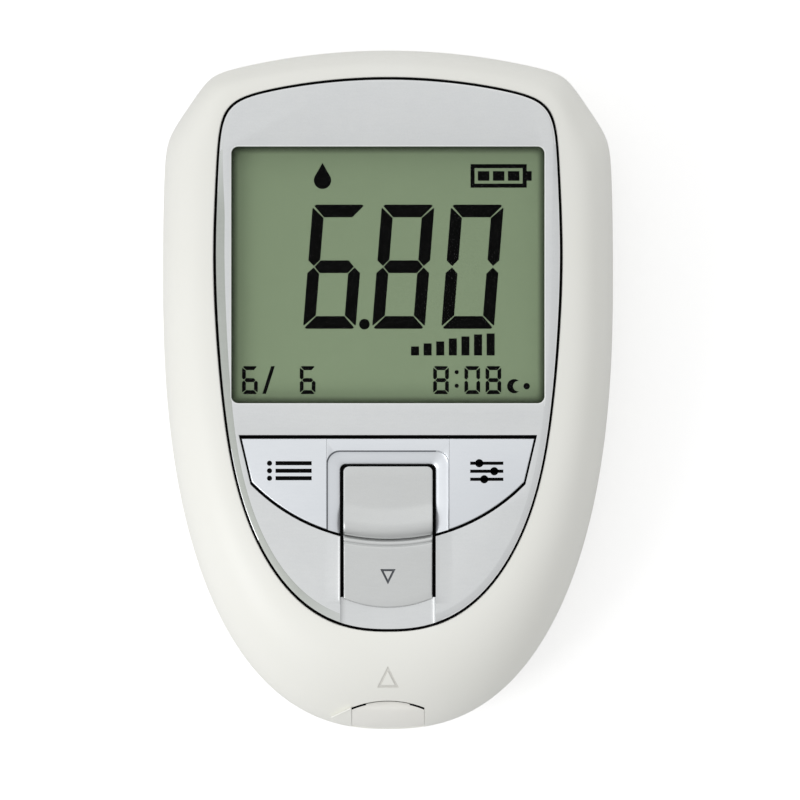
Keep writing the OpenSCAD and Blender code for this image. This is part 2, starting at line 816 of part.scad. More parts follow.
// One wing of the key field with the post that presses its dome
module key(side) {
    color(silver) {
        slab(key_z, face_z) intersection() {
            key_field(0);
            translate([side > 0 ? collar_half_w + seam : -body_w, tail_y])
                square([body_w - collar_half_w - seam, body_l]);
        }
        rod([side * post_x, post_y], post_r, board_top + dome_h + touch, key_z + sink);
    }
}

module left_key() { key(-1); }
module right_key() { key(1); }

// Collar round the slot: its top slopes down to the slider, and two pegs locate it
module key_collar() {
    lip = 0.1;
    function slope_ring(half_w, top_y, r, z) = [
        [-half_w, tail_y, z],
        [half_w, tail_y, z],
        for (a = [0:15:90]) [half_w - r + r * cos(a), top_y - r + r * sin(a), z],
        for (a = [90:15:180]) [-half_w + r + r * cos(a), top_y - r + r * sin(a), z]
    ];
    color(silver)
    difference() {
        union() {
            slab(pad_z, face_z) intersection() {
                key_field(0);
                translate([-collar_half_w, tail_y]) square([2 * collar_half_w, body_l]);
            }
            for (x = [-1, 1]) rod([x * peg_x, peg_y], peg_r, floor_z, pad_z + sink);
        }
        slab(seat_z - cut, face_z + cut)
            slot_outline(slot_half_w, slot_top_y, collar_r, tail_y);
        loft([
            slope_ring(slot_half_w - lip, slot_top_y - lip, collar_r, face_z - collar_drop),
            slope_ring(collar_half_w - lip, collar_top_y - lip, collar_outer_r, face_z),
            slope_ring(collar_half_w - lip, collar_top_y - lip, collar_outer_r, face_z + cut)
        ]);
    }
}

// Snap dome on the board
module dome(side) {
    cap_r = (dome_r * dome_r + dome_h * dome_h) / (2 * dome_h);
    color(steel)
    translate([side * post_x, post_y, board_top])
        rotate_extrude()
            intersection() {
                difference() {
                    translate([0, dome_h - cap_r]) circle(cap_r, $fn = 96);
                    translate([0, dome_h - cap_r]) circle(cap_r - dome_t, $fn = 96);
                }
                square([dome_r, dome_h + cut]);
            }
}

module left_dome() { dome(-1); }
module right_dome() { dome(1); }

// Arrow that points to the strip end, let in by the given amount all round
module arrow(inset) {
    half_w = arrow_h / 2 - inset * 1.6;
    low_y = -arrow_h / 2 + inset * 2.2;
    polygon([[-half_w, arrow_h / 2 - inset], [half_w, arrow_h / 2 - inset], [0, low_y]]);
}

// Thumb slider: a section that turns about one centre gives the ridge its curve in plan
module ejector_slider() {
    turn_y = ledge_y + ridge_plan_r;
    crest_r = 0.7;
    hollow_r = 1.15;
    foot_t = 0.8;
    arrow_y = (ledge_y + slider_foot_y) / 2 - 0.4;
    arrow_z = plate_top - foot_fall * (ledge_y - arrow_y) / (ledge_y - slider_foot_y);
    scoop_end_y = ridge_y + 0.2;
    scoop_dip = crest_z - 0.05 - scoop_z;
    scoop_run = sqrt(scoop_r * scoop_r - (scoop_r - scoop_dip) * (scoop_r - scoop_dip));
    function out(y) = turn_y - y;
    color(silver)
    difference() {
        union() {
            intersection() {
                translate([0, turn_y, 0]) rotate([0, 0, -110]) rotate_extrude(angle = 40, $fn = 180)
                    difference() {
                        union() {
                            polygon([
                                [out(slider_top_y) - cut, slider_z],
                                [out(slider_foot_y) + cut, slider_z],
                                [out(slider_foot_y) + cut, plate_top - foot_fall],
                                [out(ledge_y), plate_top],
                                [out(slider_top_y) - cut, plate_top]
                            ]);
                            translate([out(slider_top_y) - cut, slider_z])
                                square([out(ridge_y) - out(slider_top_y) + cut, crest_z - slider_z]);
                            translate([out(ridge_y), slider_z])
                                square([out(ledge_y) - out(ridge_y), crest_z - crest_r - slider_z]);
                            translate([out(ridge_y), crest_z - crest_r]) circle(crest_r);
                            translate([out(ledge_y), slider_z]) square([1, plate_top + 0.2 - slider_z]);
                        }
                        translate([out(scoop_end_y) - scoop_run, scoop_z + scoop_r])
                            circle(scoop_r, $fn = 96);
                        translate([out(slider_top_y) - 2 * cut, scoop_z])
                            square([out(scoop_end_y) - scoop_run - out(slider_top_y) + 2 * cut, 9]);
                        translate([out(ledge_y), crest_z - 0.35]) circle(hollow_r);
                    }
                slab(slider_z - cut, crest_z + cut) intersection() {
                    slot_outline(slider_half_w, slider_top_y, collar_r, slider_foot_y - cut);
                    translate([0, slider_foot_y + slider_foot_r]) union() {
                        circle(slider_foot_r, $fn = 96);
                        translate([-body_w / 2, 0]) square([body_w, body_w]);
                    }
                }
            }
            block([-neck_half_w, neck_low_y, arm_z + arm_t], [neck_half_w, neck_top_y, slider_z + 0.3]);
            for (x = [-1, 1]) block(
                [x * (slider_half_w - 0.5) - foot_t / 2, slider_top_y - 5.5, pad_z + slider_lift],
                [x * (slider_half_w - 0.5) + foot_t / 2, slider_top_y - foot_t, slider_z + 0.3]
            );
        }
        translate([0, arrow_y]) slab(arrow_z - arrow_depth, plate_top + cut) difference() {
            arrow(0);
            arrow(0.22);
        }
    }
}

// Arm below the floor: carries the finger that pushes the strip, and the lug of the spring
module ejector_arm() {
    flange = 1.4;
    color([0.85, 0.85, 0.82])
    difference() {
        union() {
            block(
                [-neck_half_w - flange, neck_low_y - 1, arm_z],
                [neck_half_w + flange, neck_top_y + 1, arm_z + arm_t]
            );
            block(
                [-finger_half_w, finger_y - finger_l / 2, arm_z],
                [finger_half_w, neck_low_y, arm_z + arm_t]
            );
            block(
                [-finger_half_w, finger_y - finger_l / 2, strip_z + 0.15],
                [finger_half_w, finger_y + finger_l / 2, arm_z + sink]
            );
            block(
                [neck_half_w + flange - sink, lug_y, arm_z],
                [spring_x + lug_half_w, lug_y + lug_t, arm_z + arm_t]
            );
            block(
                [spring_x - lug_half_w, lug_y, board_top + 0.5],
                [spring_x + lug_half_w, lug_y + lug_t, arm_z + sink]
            );
        }
        rod(
            [0, (neck_low_y + neck_top_y) / 2], slider_screw_r + screw_room,
            arm_z - cut, arm_z + arm_t + cut
        );
    }
}

// Screw from below that holds the arm to the slider's neck
module slider_screw() {
    place = [0, (neck_low_y + neck_top_y) / 2];
    color(steel) {
        rod(place, 2 * slider_screw_r, arm_z - 0.8, arm_z);
        rod(place, slider_screw_r, arm_z - sink, arm_z + arm_t);
    }
}

// Tube of a coil: its axis is +Z, and its radius may change from one end to the other
function coil_ring(wire_r, r, turn, z, sides) = [
    for (i = [0:sides - 1])
        let (q = 360 * i / sides)
        let (far = r + wire_r * cos(q))
        [far * cos(turn), far * sin(turn), z + wire_r * sin(q)]
];

module coil(r_low, r_high, length, turns, wire_r) {
    steps = 8;
    sides = 6;
    count = round(turns * steps);
    loft([
        for (i = [0:count])
            let (part = i / count)
            coil_ring(
                wire_r, r_low + (r_high - r_low) * part, -part * turns * 360,
                wire_r + (length - 2 * wire_r) * part, sides
            )
    ]);
}

echo(return_spring_gap = spring_l / spring_turns - 2 * spring_wire_r);
echo(contact_spring_gap = cell_spring_l / contact_turns - 2 * contact_wire_r);

// Return spring between the front housing's stop and the arm's lug
module ejector_spring() {
    color(steel)
    translate([spring_x, spring_stop_y + touch, spring_z]) rotate([-90, 0, 0])
        coil(spring_r, spring_r, spring_l - 2 * touch, spring_turns, spring_wire_r);
}

// Insert in the notch: a sill that the strip slides over, falling away to the tip
module strip_guide() {
    fall = [
        for (t = [10, 24, 38, 50])
            let (reach = tail_down - inward(t, -90) * tail_border)
            [belly_y - reach + 0.15, part_z + (rim_z - part_z) * upward(t, -90) - 0.15]
    ];
    low_fall = [for (p = fall) if (p[1] < sill_z - 0.9) p];
    color([0.9, 0.9, 0.86])
    intersection() {
        rotate([90, 0, 90]) translate([0, 0, -notch_half_w]) linear_extrude(2 * notch_half_w)
            polygon([
                [tail_y + 0.3, part_z + touch],
                each low_fall,
                [tail_y + 2.2, sill_z - 0.5],
                [tail_y + 3.8, sill_z],
                [guide_back_y, sill_z],
                [guide_back_y, part_z + touch]
            ]);
        slab(part_z - cut, rim_z) union() {
            notch_outline(guide_gap, 0);
            translate([-strip_w / 2, notch_y - 2]) square([strip_w, guide_back_y - notch_y + 2]);
        }
    }
}

// Socket on the board: a channel open to the strip port, and a slot for the finger
module strip_connector() {
    finger_room = 0.2;
    color([0.88, 0.86, 0.8])
    difference() {
        block(
            [-socket_half_w, socket_low_y, board_top],
            [socket_half_w, socket_high_y, board_top + socket_h]
        );
        block(
            [-strip_w / 2, socket_low_y - cut, strip_z],
            [strip_w / 2, socket_high_y + cut, strip_z + strip_h]
        );
        block(
            [-finger_half_w - finger_room, finger_y - finger_l / 2 - slider_travel - 0.3, strip_z],
            [finger_half_w + finger_room, socket_high_y + cut, board_top + socket_h + cut]
        );
    }
}

// Spring leaves of the socket, with their tails on the board behind it
module strip_contacts() {
    leaf_w = 0.5;
    leaf_t = 0.2;
    leaf_pitch = 1.2;
    color(brass)
    for (side = [-1, 1], i = [0, 1])
        translate([side * (strip_w / 2 - 0.8 - i * leaf_pitch), socket_high_y, 0]) {
            block(
                [-leaf_w / 2, 1.5 - socket_l, strip_z],
                [leaf_w / 2, 1.2, strip_z + leaf_t]
            );
            block([-leaf_w / 2, 1, board_top], [leaf_w / 2, 2, strip_z + leaf_t]);
        }
}

module board_outline() {
    difference() {
        body_outline(wall_t + board_gap);
        translate([-body_w, -body_l]) square([2 * body_w, body_l + board_low_y]);
        for (p = housing_screw_at) translate(p) circle(boss_r + 0.5);
        for (p = board_screw_at) translate(p) circle(shank_r + 0.2);
    }
}

module main_board() {
    color(board_green) slab(board_z, board_top) board_outline();
}

module microcontroller() {
    lead_pitch = 1;
    lead_w = 0.3;
    lead_l = 1.1;
    leads = floor((mcu_w / 2 - 1) / lead_pitch);
    color(dark) translate([0, window_y, board_top]) {
        translate([-mcu_w / 2, -mcu_w / 2, 0.1]) cube([mcu_w, mcu_w, mcu_t]);
        for (turn = [0:90:270]) rotate(turn) for (i = [-leads:leads])
            translate([i * lead_pitch - lead_w / 2, mcu_w / 2 - sink, 0])
                cube([lead_w, lead_l + sink, 0.25]);
    }
}

module analog_chip() {
    lead_pitch = 1.27;
    lead_w = 0.4;
    lead_l = 0.8;
    body_t = 1.2;
    low_y = tub_low_y - tub_wall - analog_gap - analog_l;
    color(dark) translate([-7, low_y, board_z - body_t - 0.1]) {
        cube([analog_w, analog_l, body_t]);
        for (i = [-1.5:1.5]) translate([analog_w / 2 + i * lead_pitch - lead_w / 2, -lead_l, 1])
            cube([lead_w, analog_l + 2 * lead_l, 0.3]);
    }
}

module crystal() {
    wire_t = 0.4;
    color(steel) translate([12.5 - body_w / 2, slider_top_y + 5, board_z - crystal_r]) {
        rotate([-90, 0, 0]) cylinder(r = crystal_r, h = crystal_l);
        for (x = [-1, 1]) translate([(x * crystal_r - wire_t) / 2, -crystal_r, crystal_r - wire_t])
            cube([wire_t, crystal_r + sink, wire_t]);
    }
}

// Resistors and capacitors in rows on the board's underside
module passives() {
    resistor = [passive_l * 0.6, passive_l, 0.6];
    capacitor = [passive_l * 0.7, passive_l * 1.2, 0.8];
    color([0.5, 0.42, 0.35])
    for (i = [0:5]) {
        translate([-tub_half_w - 14.2 + i * passive_pitch, slider_top_y - 1, board_z - resistor[2]])
            cube(resistor);
        translate([
            tub_half_w + 4.8 + (i % 3) * (passive_pitch + 0.4),
            slider_top_y + 7 - floor(i / 3) * 2 * passive_l,
            board_z - capacitor[2]
        ])
            cube(capacitor);
    }
}

module buzzer() {
    color(dark) translate([buzzer_x, tail_y + buzzer_tail, board_z - buzzer_h]) difference() {
        cylinder(r = buzzer_r, h = buzzer_h);
        translate([0, 0, -cut]) cylinder(r = buzzer_r / 5, h = 1 + cut);
    }
}

// Cell with its nub; +1 has the nub at the display end, -1 at the strip end
module cell(x, sense) {
    nub_y = sense > 0 ? tub_high_y - contact_t : tub_low_y + contact_t;
    color([0.35, 0.37, 0.4])
    translate([x, nub_y, cell_z]) rotate([sense > 0 ? 90 : -90, 0, 0]) {
        cylinder(r = nub_r, h = nub_l + sink);
        translate([0, 0, nub_l]) cylinder(r = cell_d / 2, h = cell_l - nub_l);
    }
}

module left_cell() { cell(-cell_x, 1); }
module right_cell() { cell(cell_x, -1); }

module contact_spring(x, plate_y, sense) {
    translate([x, plate_y, cell_z]) rotate([sense > 0 ? -90 : 90, 0, 0])
        coil(contact_r, contact_tip_r, cell_spring_l - touch, contact_turns, contact_wire_r);
}

// Plate across both cells at the strip end, with the spring of the left cell
module bridge_contact() {
    face_y = tub_low_y + contact_t;
    color(steel) {
        block(
            [-cell_x - contact_half_w, tub_low_y, contact_low_z],
            [cell_x + contact_half_w, face_y, contact_high_z]
        );
        contact_spring(-cell_x, face_y - 0.1, 1);
    }
}

// Plate at one cell's end, with a tail through the tub up to the board
module end_plate(x) {
    tail_half_w = contact_half_w / 5;
    block(
        [x - contact_half_w, tub_high_y - contact_t, contact_low_z],
        [x + contact_half_w, tub_high_y, contact_high_z]
    );
    block(
        [x - tail_half_w, tub_high_y - contact_t, contact_high_z - sink],
        [x + tail_half_w, tub_high_y, board_z]
    );
}

module plus_contact() { color(steel) end_plate(-cell_x); }

module minus_contact() {
    color(steel) {
        end_plate(cell_x);
        contact_spring(cell_x, tub_high_y - contact_t + 0.1, -1);
    }
}

// Screw driven from below, with a cross recess in its head
module cross_screw(place, seat, point_z) {
    recess_w = 0.5;
    translate([place[0], place[1], seat]) difference() {
        union() {
            translate([0, 0, -head_t]) cylinder(r = head_r, h = head_t);
            translate([0, 0, -sink]) cylinder(r = shank_r, h = point_z - seat + sink);
        }
        for (turn = [0, 90]) rotate(turn) translate([-head_r / 2, -recess_w / 2, -head_t - cut])
            cube([head_r, recess_w, cut + head_t / 2]);
    }
}

module housing_screws() {
    color(steel) for (p = housing_screw_at) cross_screw(p, counterbore_z, floor_z - housing_tip);
}

module board_screws() {
    color(steel) for (p = board_screw_at) cross_screw(p, board_z, seat_z - board_tip);
}

front_housing();
rear_housing();
face_panel();
panel_tape();
display_window();
window_tape();
lcd_glass();
lcd_holder();
zebra_strips();
left_key();
right_key();
key_collar();
left_dome();
right_dome();
ejector_slider();
ejector_arm();
slider_screw();
ejector_spring();
strip_guide();
strip_connector();
strip_contacts();
main_board();
microcontroller();
analog_chip();
crystal();
passives();
buzzer();
left_cell();
right_cell();
bridge_contact();
plus_contact();
minus_contact();
battery_door();
housing_screws();
board_screws();
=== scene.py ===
import math

import bpy
import numpy as np
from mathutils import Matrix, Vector


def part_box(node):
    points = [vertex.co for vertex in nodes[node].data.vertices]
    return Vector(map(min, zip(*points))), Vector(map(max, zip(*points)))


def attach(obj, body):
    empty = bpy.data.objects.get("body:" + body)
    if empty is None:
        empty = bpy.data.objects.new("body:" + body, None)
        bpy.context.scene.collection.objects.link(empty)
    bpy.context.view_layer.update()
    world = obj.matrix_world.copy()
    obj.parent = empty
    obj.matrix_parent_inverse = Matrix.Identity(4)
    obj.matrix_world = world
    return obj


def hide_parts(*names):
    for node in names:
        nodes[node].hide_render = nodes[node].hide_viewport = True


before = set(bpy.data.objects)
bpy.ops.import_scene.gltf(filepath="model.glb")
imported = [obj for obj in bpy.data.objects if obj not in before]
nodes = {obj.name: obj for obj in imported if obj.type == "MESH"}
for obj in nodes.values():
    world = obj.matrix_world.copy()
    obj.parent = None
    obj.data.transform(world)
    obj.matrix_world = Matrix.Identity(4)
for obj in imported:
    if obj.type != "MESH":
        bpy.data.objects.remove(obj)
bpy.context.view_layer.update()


# Camera, table top, room and lamp
# The meter lies on its back on a plain white surface and is seen from straight above through a
# long lens. The room is bright behind its crown and dim at its foot, and a soft lamp stands at
# the left.
MM = 0.001
PICTURE_W = 115.05
PICTURE_MIDDLE = (1.73, -1.44)
CAMERA_HEIGHT = 1600
SHARP_LEVEL = 18
SENSOR_W = 36
FLOOR_SIZE = 3.0
FLOOR_GLOW = 0.42
SKY_TILT = (-0.1, 0.28, 0.18)
SKY_MEAN = 0.59
LAMP_PLACE = (-0.138, -0.1, 0.163)
LAMP_SIZE = 0.09
LAMP_POWER = 0.125


def placed(name, data):
    """New object that is linked to the scene."""
    thing = bpy.data.objects.new(name, data)
    bpy.context.scene.collection.objects.link(thing)
    return thing


eye = bpy.data.cameras.new("eye")
eye.sensor_width = SENSOR_W
eye.lens = SENSOR_W * (CAMERA_HEIGHT - SHARP_LEVEL) / PICTURE_W
eye.clip_start = 0.05
eye.clip_end = 20
camera = placed("camera", eye)
camera.location = (PICTURE_MIDDLE[0] * MM, PICTURE_MIDDLE[1] * MM, CAMERA_HEIGHT * MM)
bpy.context.scene.camera = camera
bpy.context.scene.view_settings.view_transform = "Standard"


class Value:
    """A number carried by one shader socket, so that masks and heights read as arithmetic."""

    def __init__(self, finish, socket):
        self.finish = finish
        self.socket = socket

    def math(self, operation, first, second, clamp=False):
        return self.finish.add(
            "ShaderNodeMath", {"operation": operation, "use_clamp": clamp}, {0: first, 1: second}
        )

    def __add__(self, other):
        return self.math("ADD", self, other)

    __radd__ = __add__

    def __mul__(self, other):
        return self.math("MULTIPLY", self, other)

    __rmul__ = __mul__

    def __sub__(self, other):
        return self.math("SUBTRACT", self, other)

    def __rsub__(self, other):
        return self.math("SUBTRACT", other, self)

    def above(self, limit):
        return self.math("GREATER_THAN", self, limit)

    def below(self, limit):
        return self.math("LESS_THAN", self, limit)

    def size(self):
        return self.finish.add("ShaderNodeMath", {"operation": "ABSOLUTE"}, {0: self})

    def clamped(self):
        return self.math("ADD", self, 0.0, clamp=True)


class Finish:
    """A material: one Principled shader, what is the same all over it, and the nodes before it."""

    def __init__(self, name, **same_all_over):
        self.material = bpy.data.materials.new(name)
        self.material.use_nodes = True
        self.nodes = self.material.node_tree.nodes
        self.links = self.material.node_tree.links
        self.shader = self.nodes["Principled BSDF"]
        for socket, value in same_all_over.items():
            self.shader.inputs[socket.replace("_", " ")].default_value = value

    def add(self, kind, settings=None, inputs=None, output=0):
        node = self.nodes.new(kind)
        for key, value in (settings or {}).items():
            if key == "stops":
                ramp = node.color_ramp.elements
                while len(ramp) < len(value):
                    ramp.new(0.5)
                for stop, (place, colour) in zip(ramp, value):
                    stop.position = place
                    stop.color = colour
            else:
                setattr(node, key, value)
        for key, value in (inputs or {}).items():
            socket = node.inputs[key]
            if isinstance(value, Value):
                self.links.new(value.socket, socket)
            else:
                socket.default_value = value
        return Value(self, node.outputs[output])

    def place(self):
        """Position on the piece, in metres, which stays with the piece as it moves."""
        return self.add("ShaderNodeTexCoord", output="Object")

    def along(self, axis):
        return self.add("ShaderNodeSeparateXYZ", inputs={0: self.place()}, output=axis)

    def noise(self, size_mm, detail=2.0, rough=0.5):
        return self.add(
            "ShaderNodeTexNoise",
            inputs={"Vector": self.place(), "Scale": 1000 / size_mm, "Detail": detail,
                    "Roughness": rough},
        )

    def mix(self, mask, under, over):
        return self.add(
            "ShaderNodeMix", {"data_type": "RGBA"}, {0: mask, 6: under, 7: over}, output=2
        )

    def feed(self, socket, value):
        self.links.new(value.socket, self.shader.inputs[socket])

    def relief(self, height_mm, value):
        """Bump whose full height is the given number of millimetres."""
        bump = self.add(
            "ShaderNodeBump", inputs={"Strength": 1.0, "Distance": height_mm * MM, "Height": value}
        )
        self.feed("Normal", bump)


paper = Finish("paper", Roughness=0.9, Specular_IOR_Level=0.1)
cloud = paper.noise(180)
paper.feed("Base Color", paper.mix(cloud, (0.84, 0.84, 0.84, 1), (0.86, 0.86, 0.86, 1)))
glow = paper.add("ShaderNodeEmission", inputs={"Strength": FLOOR_GLOW})
plain = Value(paper, paper.shader.outputs[0])
bright = paper.add("ShaderNodeAddShader", inputs={0: plain, 1: glow})
seen = paper.add("ShaderNodeLightPath", output="Is Camera Ray")
surface = paper.add("ShaderNodeMixShader", inputs={0: seen, 1: plain, 2: bright})
paper.links.new(surface.socket, paper.nodes["Material Output"].inputs["Surface"])

sheet = bpy.data.meshes.new("table_top")
half = FLOOR_SIZE / 2
sheet.from_pydata(
    [(-half, -half, 0), (half, -half, 0), (half, half, 0), (-half, half, 0)], [], [(0, 1, 2, 3)]
)
sheet.materials.append(paper.material)
placed("table_top", sheet)

sky = bpy.data.worlds.new("studio")
sky.use_nodes = True
tree = sky.node_tree


def sky_math(kind, operation, first, second):
    node = tree.nodes.new(kind)
    node.operation = operation
    for socket, value in zip(node.inputs, (first, second)):
        if isinstance(value, bpy.types.NodeSocket):
            tree.links.new(value, socket)
        else:
            socket.default_value = value
    return node.outputs["Value"]


toward = tree.nodes.new("ShaderNodeTexCoord").outputs["Generated"]
sky_tilt = sky_math("ShaderNodeVectorMath", "DOT_PRODUCT", toward, SKY_TILT)
sky_level = sky_math("ShaderNodeMath", "ADD", sky_tilt, SKY_MEAN)
tree.links.new(sky_level, tree.nodes["Background"].inputs["Strength"])
tree.nodes["Background"].inputs["Color"].default_value = (1, 1, 1, 1)
bpy.context.scene.world = sky

soft_light = bpy.data.lights.new("left_lamp", "AREA")
soft_light.size = LAMP_SIZE
soft_light.energy = LAMP_POWER
left_lamp = placed("left_lamp", soft_light)
left_lamp.location = LAMP_PLACE
left_lamp.rotation_euler = (-Vector(LAMP_PLACE)).to_track_quat("-Z", "Y").to_euler()


# Front shell
# The white upper moulding: a dome from the parting line up to the rim of the recess that the
# silver panel lies in. Fine satin ABS, cut at the narrow end by the notch of the strip port.
BELLY_Y = 16.5
SIDE_REACH = 81
BODY_FULLNESS = 2.4
CROWN_R = 95
SHOULDER_TILT = 34.5
SHOULDER_REACH = 37.5
SHOULDER_EDGE = 57
SHOULDER_TURN = (22, 62)
SIDE_BORDER = 7.7
CROWN_BORDER = 4.1
TAIL_BORDER = 14.5
PANEL_REACH = 78
PANEL_FULLNESS = 2.43
PANEL_CROWN_R = 84
PANEL_EDGE = 15.5
PANEL_GAP = 0.36
PANEL_TRIM = [(-90, 0.2), (-64, 0.2), (-38, 0.57), (8, 0.12), (45, 0.42), (90, 0.4)]
SIDE_ROUND = 2.7
NOSE_ROUND = 1.9
PARTING_GROOVE = 0.25
PARTING_RISE = 0.15
RIM_FILLET = 0.25
WALL = 2.0
PEG_DEPTH = 2.0
OVERCUT = 1


def box_mm(node):
    low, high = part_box(node)
    return np.array(low) / MM, np.array(high) / MM


shell_low, shell_high = box_mm("rear_housing")
BODY_HALF_W = (shell_high[0] - shell_low[0]) / 2
BODY_LENGTH = shell_high[1] - shell_low[1]
CROWN_UP = BODY_LENGTH / 2 - BELLY_Y
TAIL_DOWN = BODY_LENGTH / 2 + BELLY_Y
PART_Z = box_mm("front_housing")[0][2]
RIM_Z = box_mm("front_housing")[1][2]
SEAT_Z = box_mm("key_collar")[0][2] + PEG_DEPTH
FACE_Z = box_mm("left_key")[1][2]
FLOOR_Z = box_mm("lcd_holder")[1][2]


def egg_reach(half_w, up, down, fullness, a):
    """Reach of an egg-shaped outline; a fullness of 2 gives ellipses, and more a fuller curve."""
    tall = np.where(np.sin(a) < 0, down, up)
    across = np.abs(np.cos(a) / half_w) ** fullness
    return (across + np.abs(np.sin(a) / tall) ** fullness) ** (-1 / fullness)


def arc_reach(top, radius, a):
    """Reach of an arc of the given radius whose highest point lies straight up at top."""
    fall = (radius - top) * np.sin(a)
    return np.sqrt(fall**2 + radius**2 - (radius - top) ** 2) - fall


def soft_least(reaches, edge):
    """The least of several reaches, with corners rounded less as the edge number grows."""
    return sum(reach**-edge for reach in reaches) ** (-1 / edge)


def body_reach(a):
    """Distance of the body's outline from the belly point in the direction a."""
    egg = egg_reach(BODY_HALF_W, SIDE_REACH, TAIL_DOWN, BODY_FULLNESS, a)
    tilt = math.radians(SHOULDER_TILT)
    toward = math.cos(tilt) * np.abs(np.cos(a)) + math.sin(tilt) * np.sin(a)
    flat = SHOULDER_REACH / np.maximum(toward, 0.05)
    cut = soft_least([egg, arc_reach(CROWN_UP, CROWN_R, a), flat], SHOULDER_EDGE)
    return np.where(np.sin(a) > 0, cut, egg)


def panel_trim(a):
    """How far the panel's edge lies inside its ideal curve, eased between a few directions."""
    rise = np.degrees(np.arcsin(np.clip(np.sin(a), -1, 1)))
    trim = np.zeros(np.shape(rise))
    for (low, first), (high, last) in zip(PANEL_TRIM, PANEL_TRIM[1:]):
        t = np.clip((rise - low) / (high - low), 0, 1)
        trim = np.where(rise >= low, first + (last - first) * t * t * (3 - 2 * t), trim)
    return trim


def panel_reach(a):
    half_w = BODY_HALF_W - SIDE_BORDER
    egg = egg_reach(half_w, PANEL_REACH, TAIL_DOWN - TAIL_BORDER, PANEL_FULLNESS, a)
    arc = arc_reach(CROWN_UP - CROWN_BORDER, PANEL_CROWN_R, a)
    return np.where(np.sin(a) > 0, soft_least([egg, arc], PANEL_EDGE), egg) - panel_trim(a)


def roundness(a):
    """Power of the body's rounded side: 2 is a round quarter, and more a squarer one."""
    return SIDE_ROUND + (NOSE_ROUND - SIDE_ROUND) * np.maximum(0, -np.sin(a)) ** 4


def directions(step, fine_step):
    """Directions all round the belly point, closer together where the shoulders turn."""
    low, high = SHOULDER_TURN
    right = np.concatenate([
        np.arange(-90, low, step), np.arange(low, high, fine_step), np.arange(high, 90, step)
    ])
    left = 180 - right[1:][::-1]
    return np.radians(np.concatenate([right, [90], left]))


ROUND = directions(1.0, 0.5)


def ring(reach, z):
    z = np.broadcast_to(z, ROUND.shape)
    return np.column_stack([reach * np.cos(ROUND), BELLY_Y + reach * np.sin(ROUND), z])


def quarter_turn(t):
    """Shares of the way inward and upward after a turn t over the body's rounded side."""
    power = 2 / roundness(ROUND)
    return 1 - max(0.0, math.cos(t)) ** power, max(0.0, math.sin(t)) ** power


def dome_ring(t, inset, grow, top_z):
    inward, upward = quarter_turn(t)
    start = body_reach(ROUND) - inset
    reach = start + (panel_reach(ROUND) + grow - start) * inward
    return ring(reach, PART_Z + (top_z - PART_Z) * upward)


def dome_height(x, y):
    """Height of the dome's skin over a point between the outline and the panel."""
    a = np.arctan2(y - BELLY_Y, x)
    start = body_reach(a)
    inward = (start - np.hypot(x, y - BELLY_Y)) / (start - panel_reach(a) - PANEL_GAP)
    cosine = np.clip(1 - inward, 0, 1) ** (roundness(a) / 2)
    return PART_Z + (RIM_Z - PART_Z) * (1 - cosine**2) ** (1 / roundness(a))


def eased(count):
    """Quarter turn in steps that are finer at both ends."""
    u = np.linspace(0, 1, count)
    return u * u * (3 - 2 * u) * math.pi / 2


def new_mesh(name, solid, material):
    """Mesh of a solid that is given as points in millimetres and faces."""
    points, faces = solid
    mesh = bpy.data.meshes.new(name)
    mesh.from_pydata([tuple(float(c) * MM for c in p) for p in points], [], faces)
    mesh.materials.append(material)
    return mesh


def new_piece(name, solid, finish, body, node=None):
    """Piece that rides on a body and may stand for a CAD node, which it hides."""
    piece = placed(name, new_mesh(name, solid, finish.material))
    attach(piece, body)
    if node:
        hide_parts(node)
    return piece


def shade(piece, degrees):
    """Smooth shading that keeps edges sharper than the given angle."""
    mesh = piece.data
    mesh.polygons.foreach_set("use_smooth", [True] * len(mesh.polygons))
    mesh.set_sharp_from_angle(angle=math.radians(degrees))


def lofted(rings):
    """Closed solid through rings that hold equally many points."""
    count = len(rings[0])
    faces = []
    for k in range(len(rings) - 1):
        for i in range(count):
            j = (i + 1) % count
            faces.append((k * count + i, k * count + j, (k + 1) * count + j, (k + 1) * count + i))
    faces.append(tuple(range(count - 1, -1, -1)))
    last = (len(rings) - 1) * count
    faces.append(tuple(range(last, last + count)))
    return np.concatenate(rings), faces


def level(outline, z):
    outline = np.array(outline, dtype=float)
    return np.column_stack([outline[:, :2], np.full(len(outline), z)])


def prism(outline, low_z, high_z):
    return lofted([level(outline, low_z), level(outline, high_z)])


def settle(piece):
    """Applies a piece's modifiers to its mesh."""
    graph = bpy.context.evaluated_depsgraph_get()
    made = bpy.data.meshes.new_from_object(piece.evaluated_get(graph), depsgraph=graph)
    old = piece.data
    piece.modifiers.clear()
    piece.data = made
    bpy.data.meshes.remove(old)


def combine(piece, operation, *solids):
    """Cuts solids out of a piece with DIFFERENCE, or adds them to it with UNION."""
    tools = []
    for solid in solids:
        tool = placed("tool", new_mesh("tool", solid, piece.data.materials[0]))
        tools.append(tool)
        boolean = piece.modifiers.new("cut", "BOOLEAN")
        boolean.operation = operation
        boolean.solver = "EXACT"
        boolean.object = tool
    settle(piece)
    for tool in tools:
        mesh = tool.data
        bpy.data.objects.remove(tool)
        bpy.data.meshes.remove(mesh)


def joined(solids):
    """Several solids as one."""
    points, faces, start = [], [], 0
    for solid_points, solid_faces in solids:
        points.append(np.array(solid_points, dtype=float))
        faces += [tuple(start + i for i in face) for face in solid_faces]
        start += len(solid_points)
    return np.concatenate(points), faces


def rect(low_x, low_y, high_x, high_y):
    return [(low_x, low_y), (high_x, low_y), (high_x, high_y), (low_x, high_y)]


def block(low, high):
    return prism(rect(low[0], low[1], high[0], high[1]), low[2], high[2])


